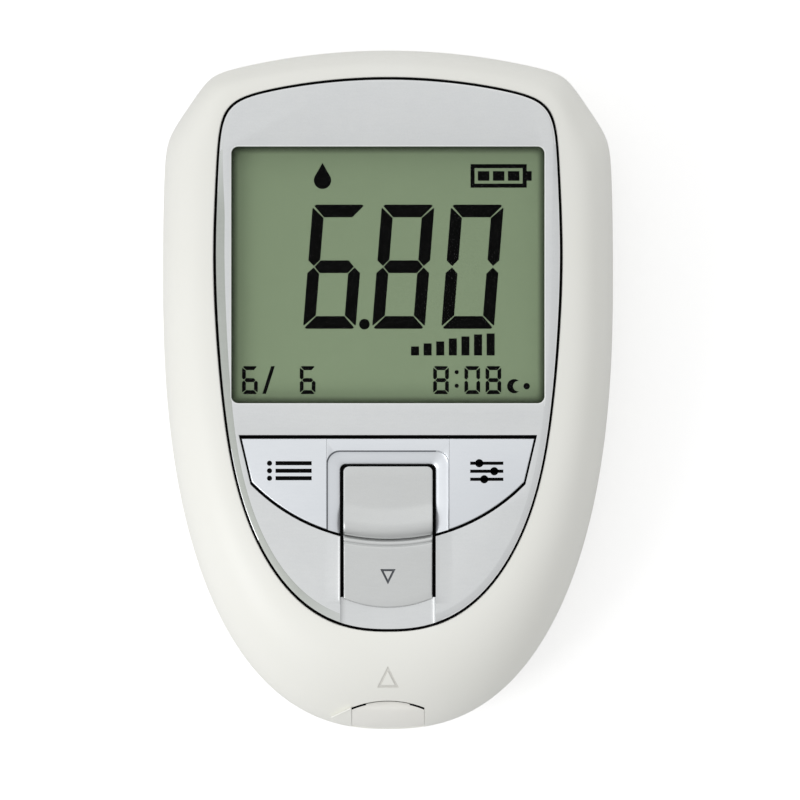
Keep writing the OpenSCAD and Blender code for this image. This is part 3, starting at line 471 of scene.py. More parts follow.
def arc(middle, radius, start, end, steps):
    turn = np.radians(np.linspace(start, end, steps))
    return [(middle[0] + radius * math.cos(q), middle[1] + radius * math.sin(q)) for q in turn]


def disc(middle, radius, sides=48):
    return arc(middle, radius, 0, 360 - 360 / sides, sides)


def rod(middle, radius, low_z, high_z, sides=48):
    return prism(disc(middle, radius, sides), low_z, high_z)


def rounded_rect(middle, w, h, radius, steps=9):
    x, y = w / 2 - radius, h / 2 - radius
    points = []
    for cx, cy, start in [(x, -y, -90), (x, y, 0), (-x, y, 90), (-x, -y, 180)]:
        points += arc((middle[0] + cx, middle[1] + cy), radius, start, start + 90, steps)
    return points


def on_both_sides(x, make):
    """Two like solids, made at -x and at x."""
    return joined([make(-x), make(x)])


NOTCH_HALF_W = 5.25
NOTCH_Y = -44.65
NOTCH_R = 13.8
TAIL_CUT_Y = -60
STRIP_HALF_W = 4.35
SLOT_ROOF_Z = 18.25
GUIDE_BACK_Y = -39.8
CONNECTOR_HALF_W = 6.95
CONNECTOR_BACK_Y = -31.6
CONNECTOR_ROOM = (15.7, 19.2)
ARROW_CORNER_SHARE = 1.6
ARROW_TIP_SHARE = 2.2
PORT_ARROW_Y = -41.15
PORT_ARROW_H = 3.1
PORT_ARROW_LINE = 0.36
PORT_ARROW_DEPTH = 0.1
PORT_ARROW_ROOM = 1.8
PORT_ARROW_LOW_Z = PART_Z + 4
PEG = (7.79, -9.7)
PEG_R = 0.7
PEG_PLAY = 0.05
POST = (15, -12)
POST_HOLE_R = 2
WINDOW_W = 44.9
WINDOW_H = 36.8
WINDOW_Y = 16.5
WINDOW_MIDDLE = (0, WINDOW_Y)
WINDOW_CORNER_R = 1
WINDOW_PLAY = 0.6
NECK_HALF_W = 2.8
NECK_LOW_Y = -27.2
NECK_HIGH_Y = -15.8
MOULD_LINE = ((-8.2, -47.15), (-5.35, -45.75))
MOULD_LINE_HALF_W = 0.1
MOULD_LINE_DEPTH = 0.08
SHADE_PAINT_LOW_Z = SEAT_Z - 0.1
SHADE_PAINT_HIGH_Z = RIM_Z - 0.14
SHADE_PAINT_REACH = 0.06


def notch_outline():
    middle = (0, NOTCH_Y - NOTCH_R)
    lean = math.degrees(math.asin(NOTCH_HALF_W / NOTCH_R))
    foot = [(-NOTCH_HALF_W, TAIL_CUT_Y), (NOTCH_HALF_W, TAIL_CUT_Y)]
    return foot + arc(middle, NOTCH_R, 90 - lean, 90 + lean, 25)


def band(outer, inner, low, high):
    """Ring-shaped solid between two outlines; low and high give its heights over a point."""
    n = len(outer)
    points = [
        (x, y, height(x, y)) for height in (low, high) for outline in (outer, inner)
        for x, y in outline
    ]
    faces = []
    for i in range(n):
        j = (i + 1) % n
        faces += [
            (i, n + i, n + j, j), (2 * n + i, 2 * n + j, 3 * n + j, 3 * n + i),
            (i, j, 2 * n + j, 2 * n + i), (n + i, 3 * n + i, 3 * n + j, n + j),
        ]
    return np.array(points, dtype=float), faces


def arrow(inset, middle_y, h, way=1):
    """Triangle that points down, or up with way -1; the inset is the width of its drawn line."""
    half_w = h / 2 - inset * ARROW_CORNER_SHARE
    tip_y = middle_y + way * (inset * ARROW_TIP_SHARE - h / 2)
    base_y = middle_y + way * (h / 2 - inset)
    corners = [(0, tip_y), (half_w, base_y), (-half_w, base_y)]
    return corners if way > 0 else corners[::-1]


def walked(outline, steps):
    """The outline with every edge divided into equal steps."""
    points = []
    for one, two in zip(outline, outline[1:] + outline[:1]):
        for k in range(steps):
            points.append(tuple(a + (b - a) * k / steps for a, b in zip(one, two)))
    return points


def skin_height(x, y):
    return float(dome_height(np.array([x]), np.array([y]))[0])


def crease(start, end, half_w, depth, steps=12):
    """Cutter for a fine line that follows the dome's skin from start to end."""
    along = (Vector(end) - Vector(start)).normalized()
    side = Vector((-along.y, along.x)) * half_w
    rings = []
    for k in range(steps + 1):
        x, y = Vector(start).lerp(Vector(end), k / steps)
        low, high = skin_height(x, y) - depth, skin_height(x, y) + OVERCUT
        rings.append(np.array([
            (x - side.x, y - side.y, low), (x + side.x, y + side.y, low),
            (x + side.x, y + side.y, high), (x - side.x, y - side.y, high),
        ]))
    return lofted(rings)


def linear(display):
    """Scene value of a display value from 0 to 255."""
    v = display / 255
    return v / 12.92 if v <= 0.04045 else ((v + 0.055) / 1.055) ** 2.4


def tone(red, green, blue):
    return (linear(red), linear(green), linear(blue), 1.0)


def grained(name, dark, light, grain_mm, rough, gloss, spread=0.1, detail=2):
    """Plain moulded finish: one grain mottles its tone and its gloss a little."""
    finish = Finish(name, Specular_IOR_Level=gloss)
    grain = finish.noise(grain_mm, detail)
    finish.feed("Base Color", finish.mix(grain, dark, light))
    finish.feed("Roughness", grain * spread + rough)
    return finish


ivory = Finish("ivory_moulding", Roughness=0.42, Specular_IOR_Level=0.4)
ivory_cloud = ivory.noise(14, 3)
ivory_grain = ivory.noise(0.35, 2)
ivory.feed("Base Color", ivory.mix(ivory_cloud, tone(243, 243, 236), tone(246, 246, 241)))
ivory.feed("Roughness", ivory_grain * 0.1 + 0.38)
ivory.relief(0.004, ivory_grain)
# Greyer ivory: painted shade for the floor of the engraved arrow.
ivory_painted_shade = grained("ivory_painted_shade", tone(218, 217, 212), tone(226, 225, 220), 0.4, 0.6, 0.2)
# Black painted shade for the wall of the plate's recess, where the narrow gap lies in shade.
recess_painted_shade = grained(
    "black_painted_shade", (0.006, 0.005, 0.005, 1), (0.012, 0.01, 0.009, 1), 0.5, 0.6, 0.2, spread=0.2
)

inner_turns = [math.radians(t) for t in (90, 60, 34, 14, 0)]
front_rings = [dome_ring(t, WALL, 0, FLOOR_Z) for t in inner_turns]
front_rings += [
    ring(body_reach(ROUND) - PARTING_GROOVE, z) for z in (PART_Z, PART_Z + PARTING_RISE)
]
# The skin's first two steps give way to the parting groove.
skin_turns = eased(30)[2:]
front_rings += [dome_ring(t, 0, PANEL_GAP + RIM_FILLET, RIM_Z) for t in skin_turns]
for turn in (30, 60, 90):
    sunk = RIM_FILLET * (1 - math.cos(math.radians(turn)))
    kept = RIM_FILLET * (1 - math.sin(math.radians(turn)))
    front_rings.append(ring(panel_reach(ROUND) + PANEL_GAP + kept, RIM_Z - sunk))
front_rings.append(ring(panel_reach(ROUND) + PANEL_GAP, SEAT_Z))
front_shell = new_piece(
    "front_shell", lofted(front_rings), ivory, "housing", "front_housing"
)
display_room = rounded_rect(
    WINDOW_MIDDLE, WINDOW_W + WINDOW_PLAY, WINDOW_H + WINDOW_PLAY, WINDOW_CORNER_R
)
combine(
    front_shell, "DIFFERENCE",
    prism(notch_outline(), PART_Z - OVERCUT, RIM_Z + OVERCUT),
    block((-STRIP_HALF_W, TAIL_CUT_Y, PART_Z - OVERCUT), (STRIP_HALF_W, GUIDE_BACK_Y, SLOT_ROOF_Z)),
    block((-CONNECTOR_HALF_W, GUIDE_BACK_Y, CONNECTOR_ROOM[0]),
          (CONNECTOR_HALF_W, CONNECTOR_BACK_Y, CONNECTOR_ROOM[1])),
    prism(display_room, FLOOR_Z - OVERCUT, SEAT_Z + OVERCUT),
    block((-NECK_HALF_W, NECK_LOW_Y, FLOOR_Z - OVERCUT),
          (NECK_HALF_W, NECK_HIGH_Y, SEAT_Z + OVERCUT)),
    rod(POST, POST_HOLE_R, FLOOR_Z - OVERCUT, SEAT_Z + OVERCUT),
    rod((-POST[0], POST[1]), POST_HOLE_R, FLOOR_Z - OVERCUT, SEAT_Z + OVERCUT),
    on_both_sides(PEG[0], lambda x: rod(
        (x, PEG[1]), PEG_R + PEG_PLAY, FLOOR_Z - OVERCUT, SEAT_Z + OVERCUT, 32
    )),
    band(
        walked(arrow(0, PORT_ARROW_Y, PORT_ARROW_H, -1), 8),
        walked(arrow(PORT_ARROW_LINE, PORT_ARROW_Y, PORT_ARROW_H, -1), 8),
        lambda x, y: skin_height(x, y) - PORT_ARROW_DEPTH,
        lambda x, y: skin_height(x, y) + OVERCUT,
    ),
    crease(*MOULD_LINE, MOULD_LINE_HALF_W, MOULD_LINE_DEPTH),
)
shade(front_shell, 30)


def faces_of(piece):
    """Each face of a piece with its middle in millimetres and its normal."""
    for face in piece.data.polygons:
        yield (face, *(face.center / MM), face.normal)


front_shell.data.materials.append(recess_painted_shade.material)
front_shell.data.materials.append(ivory_painted_shade.material)
for face, x, y, z, _ in faces_of(front_shell):
    recess = panel_reach(math.atan2(y - BELLY_Y, x)) + PANEL_GAP + SHADE_PAINT_REACH
    near_arrow = max(abs(x), abs(y - PORT_ARROW_Y)) < PORT_ARROW_ROOM and z > PORT_ARROW_LOW_Z
    # The recess's wall is painted black up to its rounded rim: painted shade in the gap round the
    # plate.
    if math.hypot(x, y - BELLY_Y) < recess and SHADE_PAINT_LOW_Z < z < SHADE_PAINT_HIGH_Z:
        face.material_index = 1
    # The floor of the engraved arrow is matt, and a little darker as painted shade.
    elif near_arrow and z < skin_height(x, y) - PORT_ARROW_DEPTH / 2 - 0.01:
        face.material_index = 2


# Rear shell
# The lower moulding: a bowl that flattens to the rest area, with the recess of the battery door,
# the tub for two cells and four deep screw wells. The same satin ABS as the front shell.
REST_INSET = 5.5
DOOR_HALF_W = 13.2
DOOR_LOW_Y = -11.6
DOOR_HIGH_Y = 41.6
DOOR_CORNER_R = 2
DOOR_GAP = 0.15
RECESS_FILLET = 0.2
SHELF_Z = 2.0
SHELF_FRAME_Z = 3.2
TUB_HALF_W = 11.2
TUB_LOW_Y = -10.1
TUB_HIGH_Y = 40.1
TUB_WALL = 1.2
TUB_CEILING = 12.9
TUB_ROOF = 1
BITE = 0.5
CELL_X = 5.4
CONTACT_HALF_W = 1
CONTACT_THICK = 0.5
CONTACT_DOWN = 1
CONTACT_UP = 2
HOOK_X = 7
HOOK_SLOT_HALF_W = 2.3
HOOK_SLOT_DEPTH = 2.4
HOOK_SLOT_H = 1.9
NAIL_DISH_R = 5
NAIL_DISH_Y = DOOR_HIGH_Y + 0.5
NAIL_DISH_DEPTH = 0.8
SCREW_WELLS = [(18, 41), (-18, 41), (20, -24), (-20, -24)]
WELL_R = 2.2
WELL_FLOOR_Z = 3
WELL_FILLET = 0.25
BOSS_R = 2.6
BORE_R = 1.25


def grown(outline, distance):
    """Outline let out by a distance with mitred corners; its points run anticlockwise."""
    p = np.array(outline, dtype=float)[:, :2]

    def outward(edge):
        side = np.column_stack([edge[:, 1], -edge[:, 0]])
        return side / np.linalg.norm(side, axis=1, keepdims=True)

    one = outward(p - np.roll(p, 1, axis=0))
    two = outward(np.roll(p, -1, axis=0) - p)
    return p + distance * (one + two) / (1 + (one * two).sum(axis=1, keepdims=True))


FILLET_TURNS = [math.radians(t) for t in (0, 22, 45, 68, 90)]


def fillet_rings(outline, far_z, face_z, fillet, way_out):
    """Rings from a flat far end to a rounded face; way_out is -1 on a solid and 1 on a hole."""
    rise = 1 if face_z > far_z else -1
    rings = [level(outline, far_z)]
    for t in FILLET_TURNS:
        shift = way_out * fillet * (1 - math.cos(t))
        rings.append(level(grown(outline, shift), face_z - rise * fillet * (1 - math.sin(t))))
    return rings, rise


def opening(outline, far_z, face_z, fillet):
    """Cutter for a hole whose edge at the face is rounded."""
    rings, rise = fillet_rings(outline, far_z, face_z, fillet, 1)
    rings.append(level(grown(outline, fillet), face_z + rise * OVERCUT))
    return lofted(rings if rise > 0 else rings[::-1])


def bowl_ring(t, inset, foot_inset, foot_z):
    inward, upward = quarter_turn(t)
    reach = body_reach(ROUND) - inset - foot_inset * inward
    return ring(reach, PART_Z - (PART_Z - foot_z) * upward)


# The skin's two steps next to the parting line give way to the groove.
rear_rings = [bowl_ring(t, 0, REST_INSET, 0) for t in eased(26)[:1:-1]]
rear_rings += [
    ring(body_reach(ROUND) - PARTING_GROOVE, z) for z in (PART_Z - PARTING_RISE, PART_Z)
]
rear_rings += [bowl_ring(math.radians(t), WALL, REST_INSET - 1, WALL) for t in (0, 20, 42, 66, 90)]
rear_shell = new_piece(
    "rear_shell", lofted(rear_rings), ivory, "housing", "rear_housing"
)
combine(
    rear_shell, "UNION",
    *[rod(well, BOSS_R, WALL - BITE, PART_Z) for well in SCREW_WELLS],
    block((-DOOR_HALF_W - TUB_WALL, DOOR_LOW_Y - TUB_WALL, SHELF_Z - BITE),
          (DOOR_HALF_W + TUB_WALL, DOOR_HIGH_Y + TUB_WALL, SHELF_FRAME_Z)),
    block((-TUB_HALF_W - TUB_WALL, TUB_LOW_Y - TUB_WALL, SHELF_Z),
          (TUB_HALF_W + TUB_WALL, TUB_HIGH_Y + TUB_WALL, TUB_CEILING + TUB_ROOF)),
)
door_middle = (0, (DOOR_LOW_Y + DOOR_HIGH_Y) / 2)
door_length = DOOR_HIGH_Y - DOOR_LOW_Y
door_hole = rounded_rect(door_middle, 2 * DOOR_HALF_W, door_length, DOOR_CORNER_R)
combine(
    rear_shell, "DIFFERENCE",
    opening(door_hole, SHELF_Z, 0, RECESS_FILLET),
    block((-TUB_HALF_W, TUB_LOW_Y, SHELF_Z - OVERCUT), (TUB_HALF_W, TUB_HIGH_Y, TUB_CEILING)),
    on_both_sides(HOOK_X, lambda x: block(
        (x - HOOK_SLOT_HALF_W, DOOR_LOW_Y - HOOK_SLOT_DEPTH, SHELF_Z),
        (x + HOOK_SLOT_HALF_W, TUB_LOW_Y + OVERCUT, SHELF_Z + HOOK_SLOT_H),
    )),
    on_both_sides(CELL_X, lambda x: block(
        (x - CONTACT_HALF_W, TUB_HIGH_Y - CONTACT_THICK, TUB_CEILING - CONTACT_DOWN),
        (x + CONTACT_HALF_W, TUB_HIGH_Y, TUB_CEILING + CONTACT_UP),
    )),
    rod((0, NAIL_DISH_Y), NAIL_DISH_R, -OVERCUT, NAIL_DISH_DEPTH),
    joined([rod(well, BORE_R, -OVERCUT, PART_Z + OVERCUT, 24) for well in SCREW_WELLS]),
    joined([opening(disc(well, WELL_R), WELL_FLOOR_Z, 0, WELL_FILLET) for well in SCREW_WELLS]),
)
shade(rear_shell, 30)


# Battery door
# A flat lid with two hooks at its lower end, a springy tab between two slots at its upper end and
# five grip grooves, in the shells' ABS. It opens about its lower edge.
DOOR_Z = 0.15
DOOR_TOP_Z = 1.95
HOOK_Z = SHELF_Z + 0.15
HOOK_HALF_W = 2
HOOK_REACH = 1.9
HOOK_THICK = 0.99
HOOK_FOOT_Y = (DOOR_LOW_Y + DOOR_GAP + 0.3, DOOR_LOW_Y + DOOR_GAP + 1.1)
HOOK_TIP_Y = DOOR_LOW_Y + DOOR_GAP - HOOK_REACH
TAB_SLOT_X = 4.5
TAB_SLOT_HALF_W = 0.4
TAB_LENGTH = 6
TAB_DISH_DEPTH = 0.65
GRIPS = 5
GRIP_PITCH = 1.6
GRIP_W = 0.8
GRIP_HALF_L = 5
GRIP_DEPTH = 0.4
GRIP_HIGH_Y = DOOR_HIGH_Y - 8.2
GRIP_FILLET = 0.12


def plate(outline, far_z, face_z, fillet):
    """Flat solid whose edge towards the face is rounded."""
    rings, rise = fillet_rings(outline, far_z, face_z, fillet, -1)
    return lofted(rings if rise > 0 else rings[::-1])


lid_outline = rounded_rect(
    door_middle, 2 * (DOOR_HALF_W - DOOR_GAP), door_length - 2 * DOOR_GAP, DOOR_CORNER_R
)
lid = new_piece(
    "lid", plate(lid_outline, DOOR_TOP_Z, DOOR_Z, RECESS_FILLET), ivory, "battery_door",
    "battery_door",
)
combine(
    lid, "UNION",
    on_both_sides(HOOK_X, lambda x: block(
        (x - HOOK_HALF_W, HOOK_FOOT_Y[0], DOOR_TOP_Z - BITE),
        (x + HOOK_HALF_W, HOOK_FOOT_Y[1], HOOK_Z + HOOK_THICK + 0.01),
    )),
    on_both_sides(HOOK_X, lambda x: block(
        (x - HOOK_HALF_W, HOOK_TIP_Y, HOOK_Z),
        (x + HOOK_HALF_W, HOOK_FOOT_Y[1] - 0.05, HOOK_Z + HOOK_THICK),
    )),
)
grip_lows = [GRIP_HIGH_Y - GRIP_W - i * GRIP_PITCH for i in range(GRIPS)]
combine(
    lid, "DIFFERENCE",
    on_both_sides(TAB_SLOT_X, lambda x: block(
        (x - TAB_SLOT_HALF_W, DOOR_HIGH_Y - TAB_LENGTH, DOOR_Z - OVERCUT),
        (x + TAB_SLOT_HALF_W, DOOR_HIGH_Y + OVERCUT, DOOR_TOP_Z + OVERCUT),
    )),
    rod((0, NAIL_DISH_Y), NAIL_DISH_R, DOOR_Z - OVERCUT, DOOR_Z + TAB_DISH_DEPTH),
    joined([
        opening(rect(-GRIP_HALF_L, y, GRIP_HALF_L, y + GRIP_W), DOOR_Z + GRIP_DEPTH, DOOR_Z,
                GRIP_FILLET)
        for y in grip_lows
    ]),
)
shade(lid, 30)


# Face plate
# The silver plate in the recess: black ABS with a satin silver coat on its upper side only, so its
# cut edges stay dark and also stand in as painted shade in the narrow gaps. A flat bevel runs round
# it, and two low shoulders flank the slider's track.
BEVEL_W = 1.2
BEVEL_H = 0.26
CROWN_BEVEL_W = 0.3
CROWN_BEVEL_H = 0.22
CROWN_FROM = 0.75
SIDE_FROM = 0.3
EDGE_ROUND = 0.08
BEVEL_SHADE_X = (-4.8, 8)
BEVEL_SHADE_Y = (36, 10)
BEVEL_PROFILE = [(0.02, 0.92), (0.1, 0.78), (0.46, 0.44), (0.88, 0.06), (0.95, 0.015), (1.03, 0)]
PAD_Z = SEAT_Z + 0.1
WINDOW_FILLET = 0.15
KEY_TOP_Y = -6.75
KEY_HALF_W = 21
KEY_LEAN = 13.3
KEY_ARC_Y = 5.75
KEY_ARC_R = 27.2
KEY_GAP = 0.36
KEY_HOLE_FILLET = 0.12
KEY_HOLE_TOP_SHIFT = -0.1
SLOT_HALF_W = 6.86
SLOT_TOP_Y = -10.63
SLIDER_HALF_W = 6.4
SIDE_SLOT_TOP_Y = -15
TRACK_Z = 22.6
GROOVE_Y = -29.7
FOOT_TRACK_Z = 22.9
FOOT_TRACK_ROUND = (0.8, 0.4)
FOOT_TRACK_LOW_Y = -34.2
LAP = 0.05
COAT_DEPTH = 0.3
UPRIGHT = 0.35
UNDERSIDE = -0.5
SHOULDER_H = 0.24
SHOULDER_TOP_Y = -8.0
SHOULDER_FOOT_Y = -30.6
SHOULDER_FADE = [(1.2, 1), (0.6, 0.75), (0.2, 0.3), (0, 0.02)]
SHOULDER_PROFILE = [
    (-0.4, -0.5), (-0.4, 1.0), (0.05, 1.0), (0.14, 0.95), (0.22, 0.84), (0.3, 0.76),
    (0.7, 0.58), (1.2, 0.36), (1.7, 0.16), (2.1, 0.04), (2.5, 0.0), (2.5, -0.5),
]


def key_field(grow, top_shift, steps=61):
    """Outline of the D-shaped key field: straight top, leaning sides and an arc below."""
    top = KEY_TOP_Y + grow + top_shift
    lean = math.tan(math.radians(KEY_LEAN))
    side_x = KEY_HALF_W + grow
    radius = KEY_ARC_R + grow

    def miss(y):
        return math.hypot(side_x - (top - y) * lean, y - KEY_ARC_Y) - radius

    high, low = top, KEY_ARC_Y - radius
    for _ in range(40):
        middle = (high + low) / 2
        high, low = (middle, low) if miss(middle) < 0 else (high, middle)
    corner_x = side_x - (top - low) * lean
    end = math.degrees(math.atan2(low - KEY_ARC_Y, corner_x))
    lower = arc((0, KEY_ARC_Y), radius, -180 - end, end, steps)
    return [(side_x, top), (-side_x, top)] + lower


def below_start(coat, axis, start, width):
    """Mask along one axis: 0 above the start, and 1 from the given width below it."""
    return (coat.along(axis) * (-1 / (width * MM)) + start / width).clamped()


def silver_coat(name, dark, light, glint, metal=0.6, rough=0.28, elsewhere=None):
    """Satin silver lacquer: drifting tone, fine flakes and a faint grain across.

    With a tone for elsewhere, the coat's own tones are painted shade that shows only
    left of BEVEL_SHADE_X and below BEVEL_SHADE_Y."""
    coat = Finish(name, Specular_IOR_Level=0.5)
    flake = coat.noise(0.18, 2)
    drift = coat.noise(6, 4, 0.6)
    stretched = coat.add(
        "ShaderNodeVectorMath", {"operation": "MULTIPLY"}, {0: coat.place(), 1: (1.0, 6.0, 1.0)}
    )
    brushed = coat.add(
        "ShaderNodeTexNoise",
        inputs={"Vector": stretched, "Scale": 500, "Detail": 3, "Roughness": 0.6},
    )
    base = coat.mix(drift, dark, light)
    if elsewhere:
        # Painted shade: where this mask is 1 the coat's own darker tones show.
        shade_mask = below_start(coat, 0, *BEVEL_SHADE_X) * below_start(coat, 1, *BEVEL_SHADE_Y)
        base = coat.mix(shade_mask, elsewhere, base)
    coat.feed("Base Color", coat.mix(flake * 0.5 + brushed * 0.3, base, glint))
    coat.feed("Metallic", flake * 0.15 + metal)
    coat.feed("Roughness", brushed * 0.1 + rough)
    coat.relief(0.003, flake + brushed)
    return coat


silver = silver_coat("silver_coat", tone(213, 216, 218), tone(229, 231, 230), tone(238, 240, 241))
# Darker bevel coat: painted shade that stands in for the dim reflection on the left bevel.
bevel_shade_silver = silver_coat(
    "bevel_painted_shade", tone(161, 166, 160), tone(175, 179, 173), tone(193, 197, 192), 0.2, 0.45,
    elsewhere=tone(224, 227, 227),
)
# Bare black plastic; in narrow gaps and slits it also stands in as painted shade.
bare_black_and_shade = grained(
    "bare_black_and_shade", (0.006, 0.006, 0.007, 1), (0.012, 0.012, 0.013, 1), 0.5, 0.5, 0.3, spread=0.2
)
# Bright painted highlight for thin edge lines of the coat.
painted_highlight = grained("painted_highlight", tone(244, 246, 246), tone(250, 251, 251), 0.3, 0.3, 0.6)


def coat_tops(piece, coated_y=60):
    """Leaves the plastic bare on the underside, and below a level in plan on upright sides;
    the bare black also stands in as painted shade in the narrow gaps.
    """
    piece.data.materials.append(bare_black_and_shade.material)
    for face, _, y, _, normal in faces_of(piece):
        side = normal.z < UPRIGHT and y < coated_y
        face.material_index = 1 if side or normal.z < UNDERSIDE else 0


def shoulder(side):
    """Low ridge beside the track: a crisp crest at the track and a flank that fades out."""
    stretch = [(SHOULDER_TOP_Y, 1)] + [(SHOULDER_FOOT_Y + up, rise) for up, rise in SHOULDER_FADE]
    rings = []
    for y, rise in stretch:
        rings.append(np.array([
            (side * (SLOT_HALF_W + out), y, FACE_Z + (up * SHOULDER_H * rise if up > 0 else up))
            for out, up in SHOULDER_PROFILE
        ]))
    return lofted(rings if side < 0 else rings[::-1])


def foot_channel(low_y, high_y):
    """Cutter for the track's end, whose floor curves up into both side walls."""
    round_w, round_h = FOOT_TRACK_ROUND
    half = [
        (SLOT_HALF_W - round_w * (1 - math.cos(t)), FOOT_TRACK_Z + round_h * (1 - math.sin(t)))
        for t in np.radians([0, 18, 36, 54, 72, 90])
    ]
    profile = [(SLOT_HALF_W, FACE_Z + OVERCUT), (-SLOT_HALF_W, FACE_Z + OVERCUT)]
    profile += [(-x, z) for x, z in half] + half[::-1]
    return lofted([np.array([(x, y, z) for x, z in profile]) for y in (high_y, low_y)])


low_part = np.clip((CROWN_FROM - np.sin(ROUND)) / (CROWN_FROM - SIDE_FROM), 0, 1)
low_part = low_part * low_part * (3 - 2 * low_part)
bevel_w = CROWN_BEVEL_W + (BEVEL_W - CROWN_BEVEL_W) * low_part
bevel_h = CROWN_BEVEL_H + (BEVEL_H - CROWN_BEVEL_H) * low_part
panel_edge = panel_reach(ROUND)
bevel_rings = [ring(panel_edge, PAD_Z), ring(panel_edge, FACE_Z - bevel_h - EDGE_ROUND)]
bevel_rings += [
    ring(panel_edge - share * bevel_w, FACE_Z - drop * bevel_h) for share, drop in BEVEL_PROFILE
]
face_plate = new_piece(
    "face_plate", lofted(bevel_rings), silver, "housing", "face_panel"
)
combine(face_plate, "UNION", on_both_sides(1, shoulder))
window_hole = rounded_rect(WINDOW_MIDDLE, WINDOW_W, WINDOW_H, WINDOW_CORNER_R)
combine(
    face_plate, "DIFFERENCE",
    opening(window_hole, PAD_Z - OVERCUT, FACE_Z, WINDOW_FILLET),
    opening(key_field(KEY_GAP, KEY_HOLE_TOP_SHIFT), PAD_Z - OVERCUT, FACE_Z, KEY_HOLE_FILLET),
    block((-SLOT_HALF_W, GROOVE_Y, TRACK_Z), (SLOT_HALF_W, SLOT_TOP_Y, FACE_Z + OVERCUT)),
    foot_channel(TAIL_CUT_Y, GROOVE_Y + LAP),
    joined([
        block((low, GROOVE_Y, PAD_Z - OVERCUT),
              (low + SLOT_HALF_W - SLIDER_HALF_W, SIDE_SLOT_TOP_Y, FACE_Z + OVERCUT))
        for low in (-SLOT_HALF_W, SLIDER_HALF_W)
    ]),
    block((-NECK_HALF_W, NECK_LOW_Y, PAD_Z - OVERCUT),
          (NECK_HALF_W, NECK_HIGH_Y, FACE_Z + OVERCUT)),
)
shade(face_plate, 28)
coat_tops(face_plate, coated_y=WINDOW_Y - WINDOW_H / 2 - 1)
face_plate.data.materials.append(painted_highlight.material)
face_plate.data.materials.append(bevel_shade_silver.material)
coat_low_z = FACE_Z - COAT_DEPTH
for face, x, y, z, normal in faces_of(face_plate):
    from_edge = panel_reach(math.atan2(y - BELLY_Y, x)) - math.hypot(x, y - BELLY_Y)
    # The upright outer edge beside the window is bare as well: painted shade in the gap at the rim.
    if abs(normal.z) < UPRIGHT and abs(x) > WINDOW_W / 2 + 0.2 and z < coat_low_z:
        face.material_index = 1
    # The right edge of the coat has a painted highlight, a thin bright line.
    if x > 8 and 0.01 < from_edge < 0.14 and 0.3 < normal.z < 0.995:
        face.material_index = 2
    # The rounded side walls at the track's end are coated.
    in_foot = abs(x) < SLOT_HALF_W + 0.45 and FOOT_TRACK_LOW_Y < y < GROOVE_Y + 0.1
    if in_foot and z > FOOT_TRACK_Z - 0.05 and normal.z > UNDERSIDE:
        face.material_index = 0
    # The window's rounded rim has the painted highlight too.
    at_window = max(abs(x) - WINDOW_W / 2, abs(y - WINDOW_Y) - WINDOW_H / 2) < WINDOW_FILLET
    if at_window and z > FACE_Z - WINDOW_FILLET and normal.z < 0.99:
        face.material_index = 2
    # The bevel's left side has the darker coat: painted shade for its dim reflection.
    on_bevel = x < -4 and from_edge < BEVEL_W + 0.05 and z > coat_low_z
    if on_bevel and normal.x < -0.01 and 0.9 < normal.z < 0.9995:
        face.material_index = 3


def dress(finish, *names):
    """Gives CAD nodes that are shown as they are a finish of their own."""
    for name in names:
        nodes[name].data.materials.clear()
        nodes[name].data.materials.append(finish.material)


tape = grained(
    "black_adhesive", (0.004, 0.004, 0.004, 1), (0.009, 0.009, 0.009, 1), 0.4, 0.7, 0.2,
    spread=0.2, detail=3,
)
dress(tape, "panel_tape", "window_tape")


# Window
# Clear moulded cover, polished on both sides, that is taped under the face plate. The display
# shows through it.
COVER_LAP = 1.45
COVER_CORNER_R = 2
COVER_FILLET = 0.05
COVER_Z = SEAT_Z - 1
cover_clear = Finish("clear_cover", IOR=1.49, Specular_IOR_Level=0.3)
cover_haze = cover_clear.noise(3, 2)
cover_clear.feed(
    "Base Color", cover_clear.mix(cover_haze, (0.008, 0.01, 0.009, 1), (0.012, 0.013, 0.012, 1))
)
cover_clear.feed("Roughness", cover_haze * 0.03 + 0.04)
cover_clear.feed("Alpha", cover_haze * 0.01 + 0.03)
cover_outline = rounded_rect(
    WINDOW_MIDDLE, WINDOW_W + 2 * COVER_LAP, WINDOW_H + 2 * COVER_LAP, COVER_CORNER_R
)
cover = new_piece(
    "cover", plate(cover_outline, COVER_Z, SEAT_Z, COVER_FILLET), cover_clear, "housing",
    "display_window",
)
shade(cover, 35)


# Display
# Grey-green liquid crystal panel with a reflector behind it. Lit segments are black: one large
# value, a date and a time, with a drop, a battery, a row of bars and a moon as plain signs.
FILM_Z = (COVER_Z - 0.12, COVER_Z - 0.06)
FILM_LAP = 0.5
INK_T = 0.02
SHADE_W = 1.05
SHADE_CORNER = 1.2
SHADE_STOPS = [(0, 0.15), (0.25, 0.3), (0.55, 0.58), (0.8, 0.85), (1, 1)]
VALUE_SIZES = {"w": 7.56, "h": 17.82, "bar": 1.81, "side": 1.7, "gap": 0.11, "chamfer": 0.37}
VALUE_LEAN = 0.0795
VALUE_Y = 8.79
VALUE_DIGITS = [("6", -12.21), ("8", -2.29), ("0", 7.65)]
VALUE_POINT = (-3.38, 9.45)
VALUE_POINT_R = 0.76
SMALL_SIZES = {"w": 2.24, "h": 4.01, "bar": 0.56, "side": 0.53, "gap": 0.07, "chamfer": 0.19}
SMALL_Y = -0.59
SMALL_DIGITS = [("6", -20.94), ("6", -12.65), ("8", 6.5), ("0", 10.99), ("8", 14.02)]
SLASH = [(-18.03, -0.55), (-17.52, -0.55), (-16.25, 3.42), (-16.77, 3.42)]
COLON_X = 9.87
COLON_Y = (0.6, 2.56)
COLON_R = 0.3
DROP_X = -9.4
DROP_TIP_Y = 32.61
DROP_Y = 30.11
DROP_R = 1.24
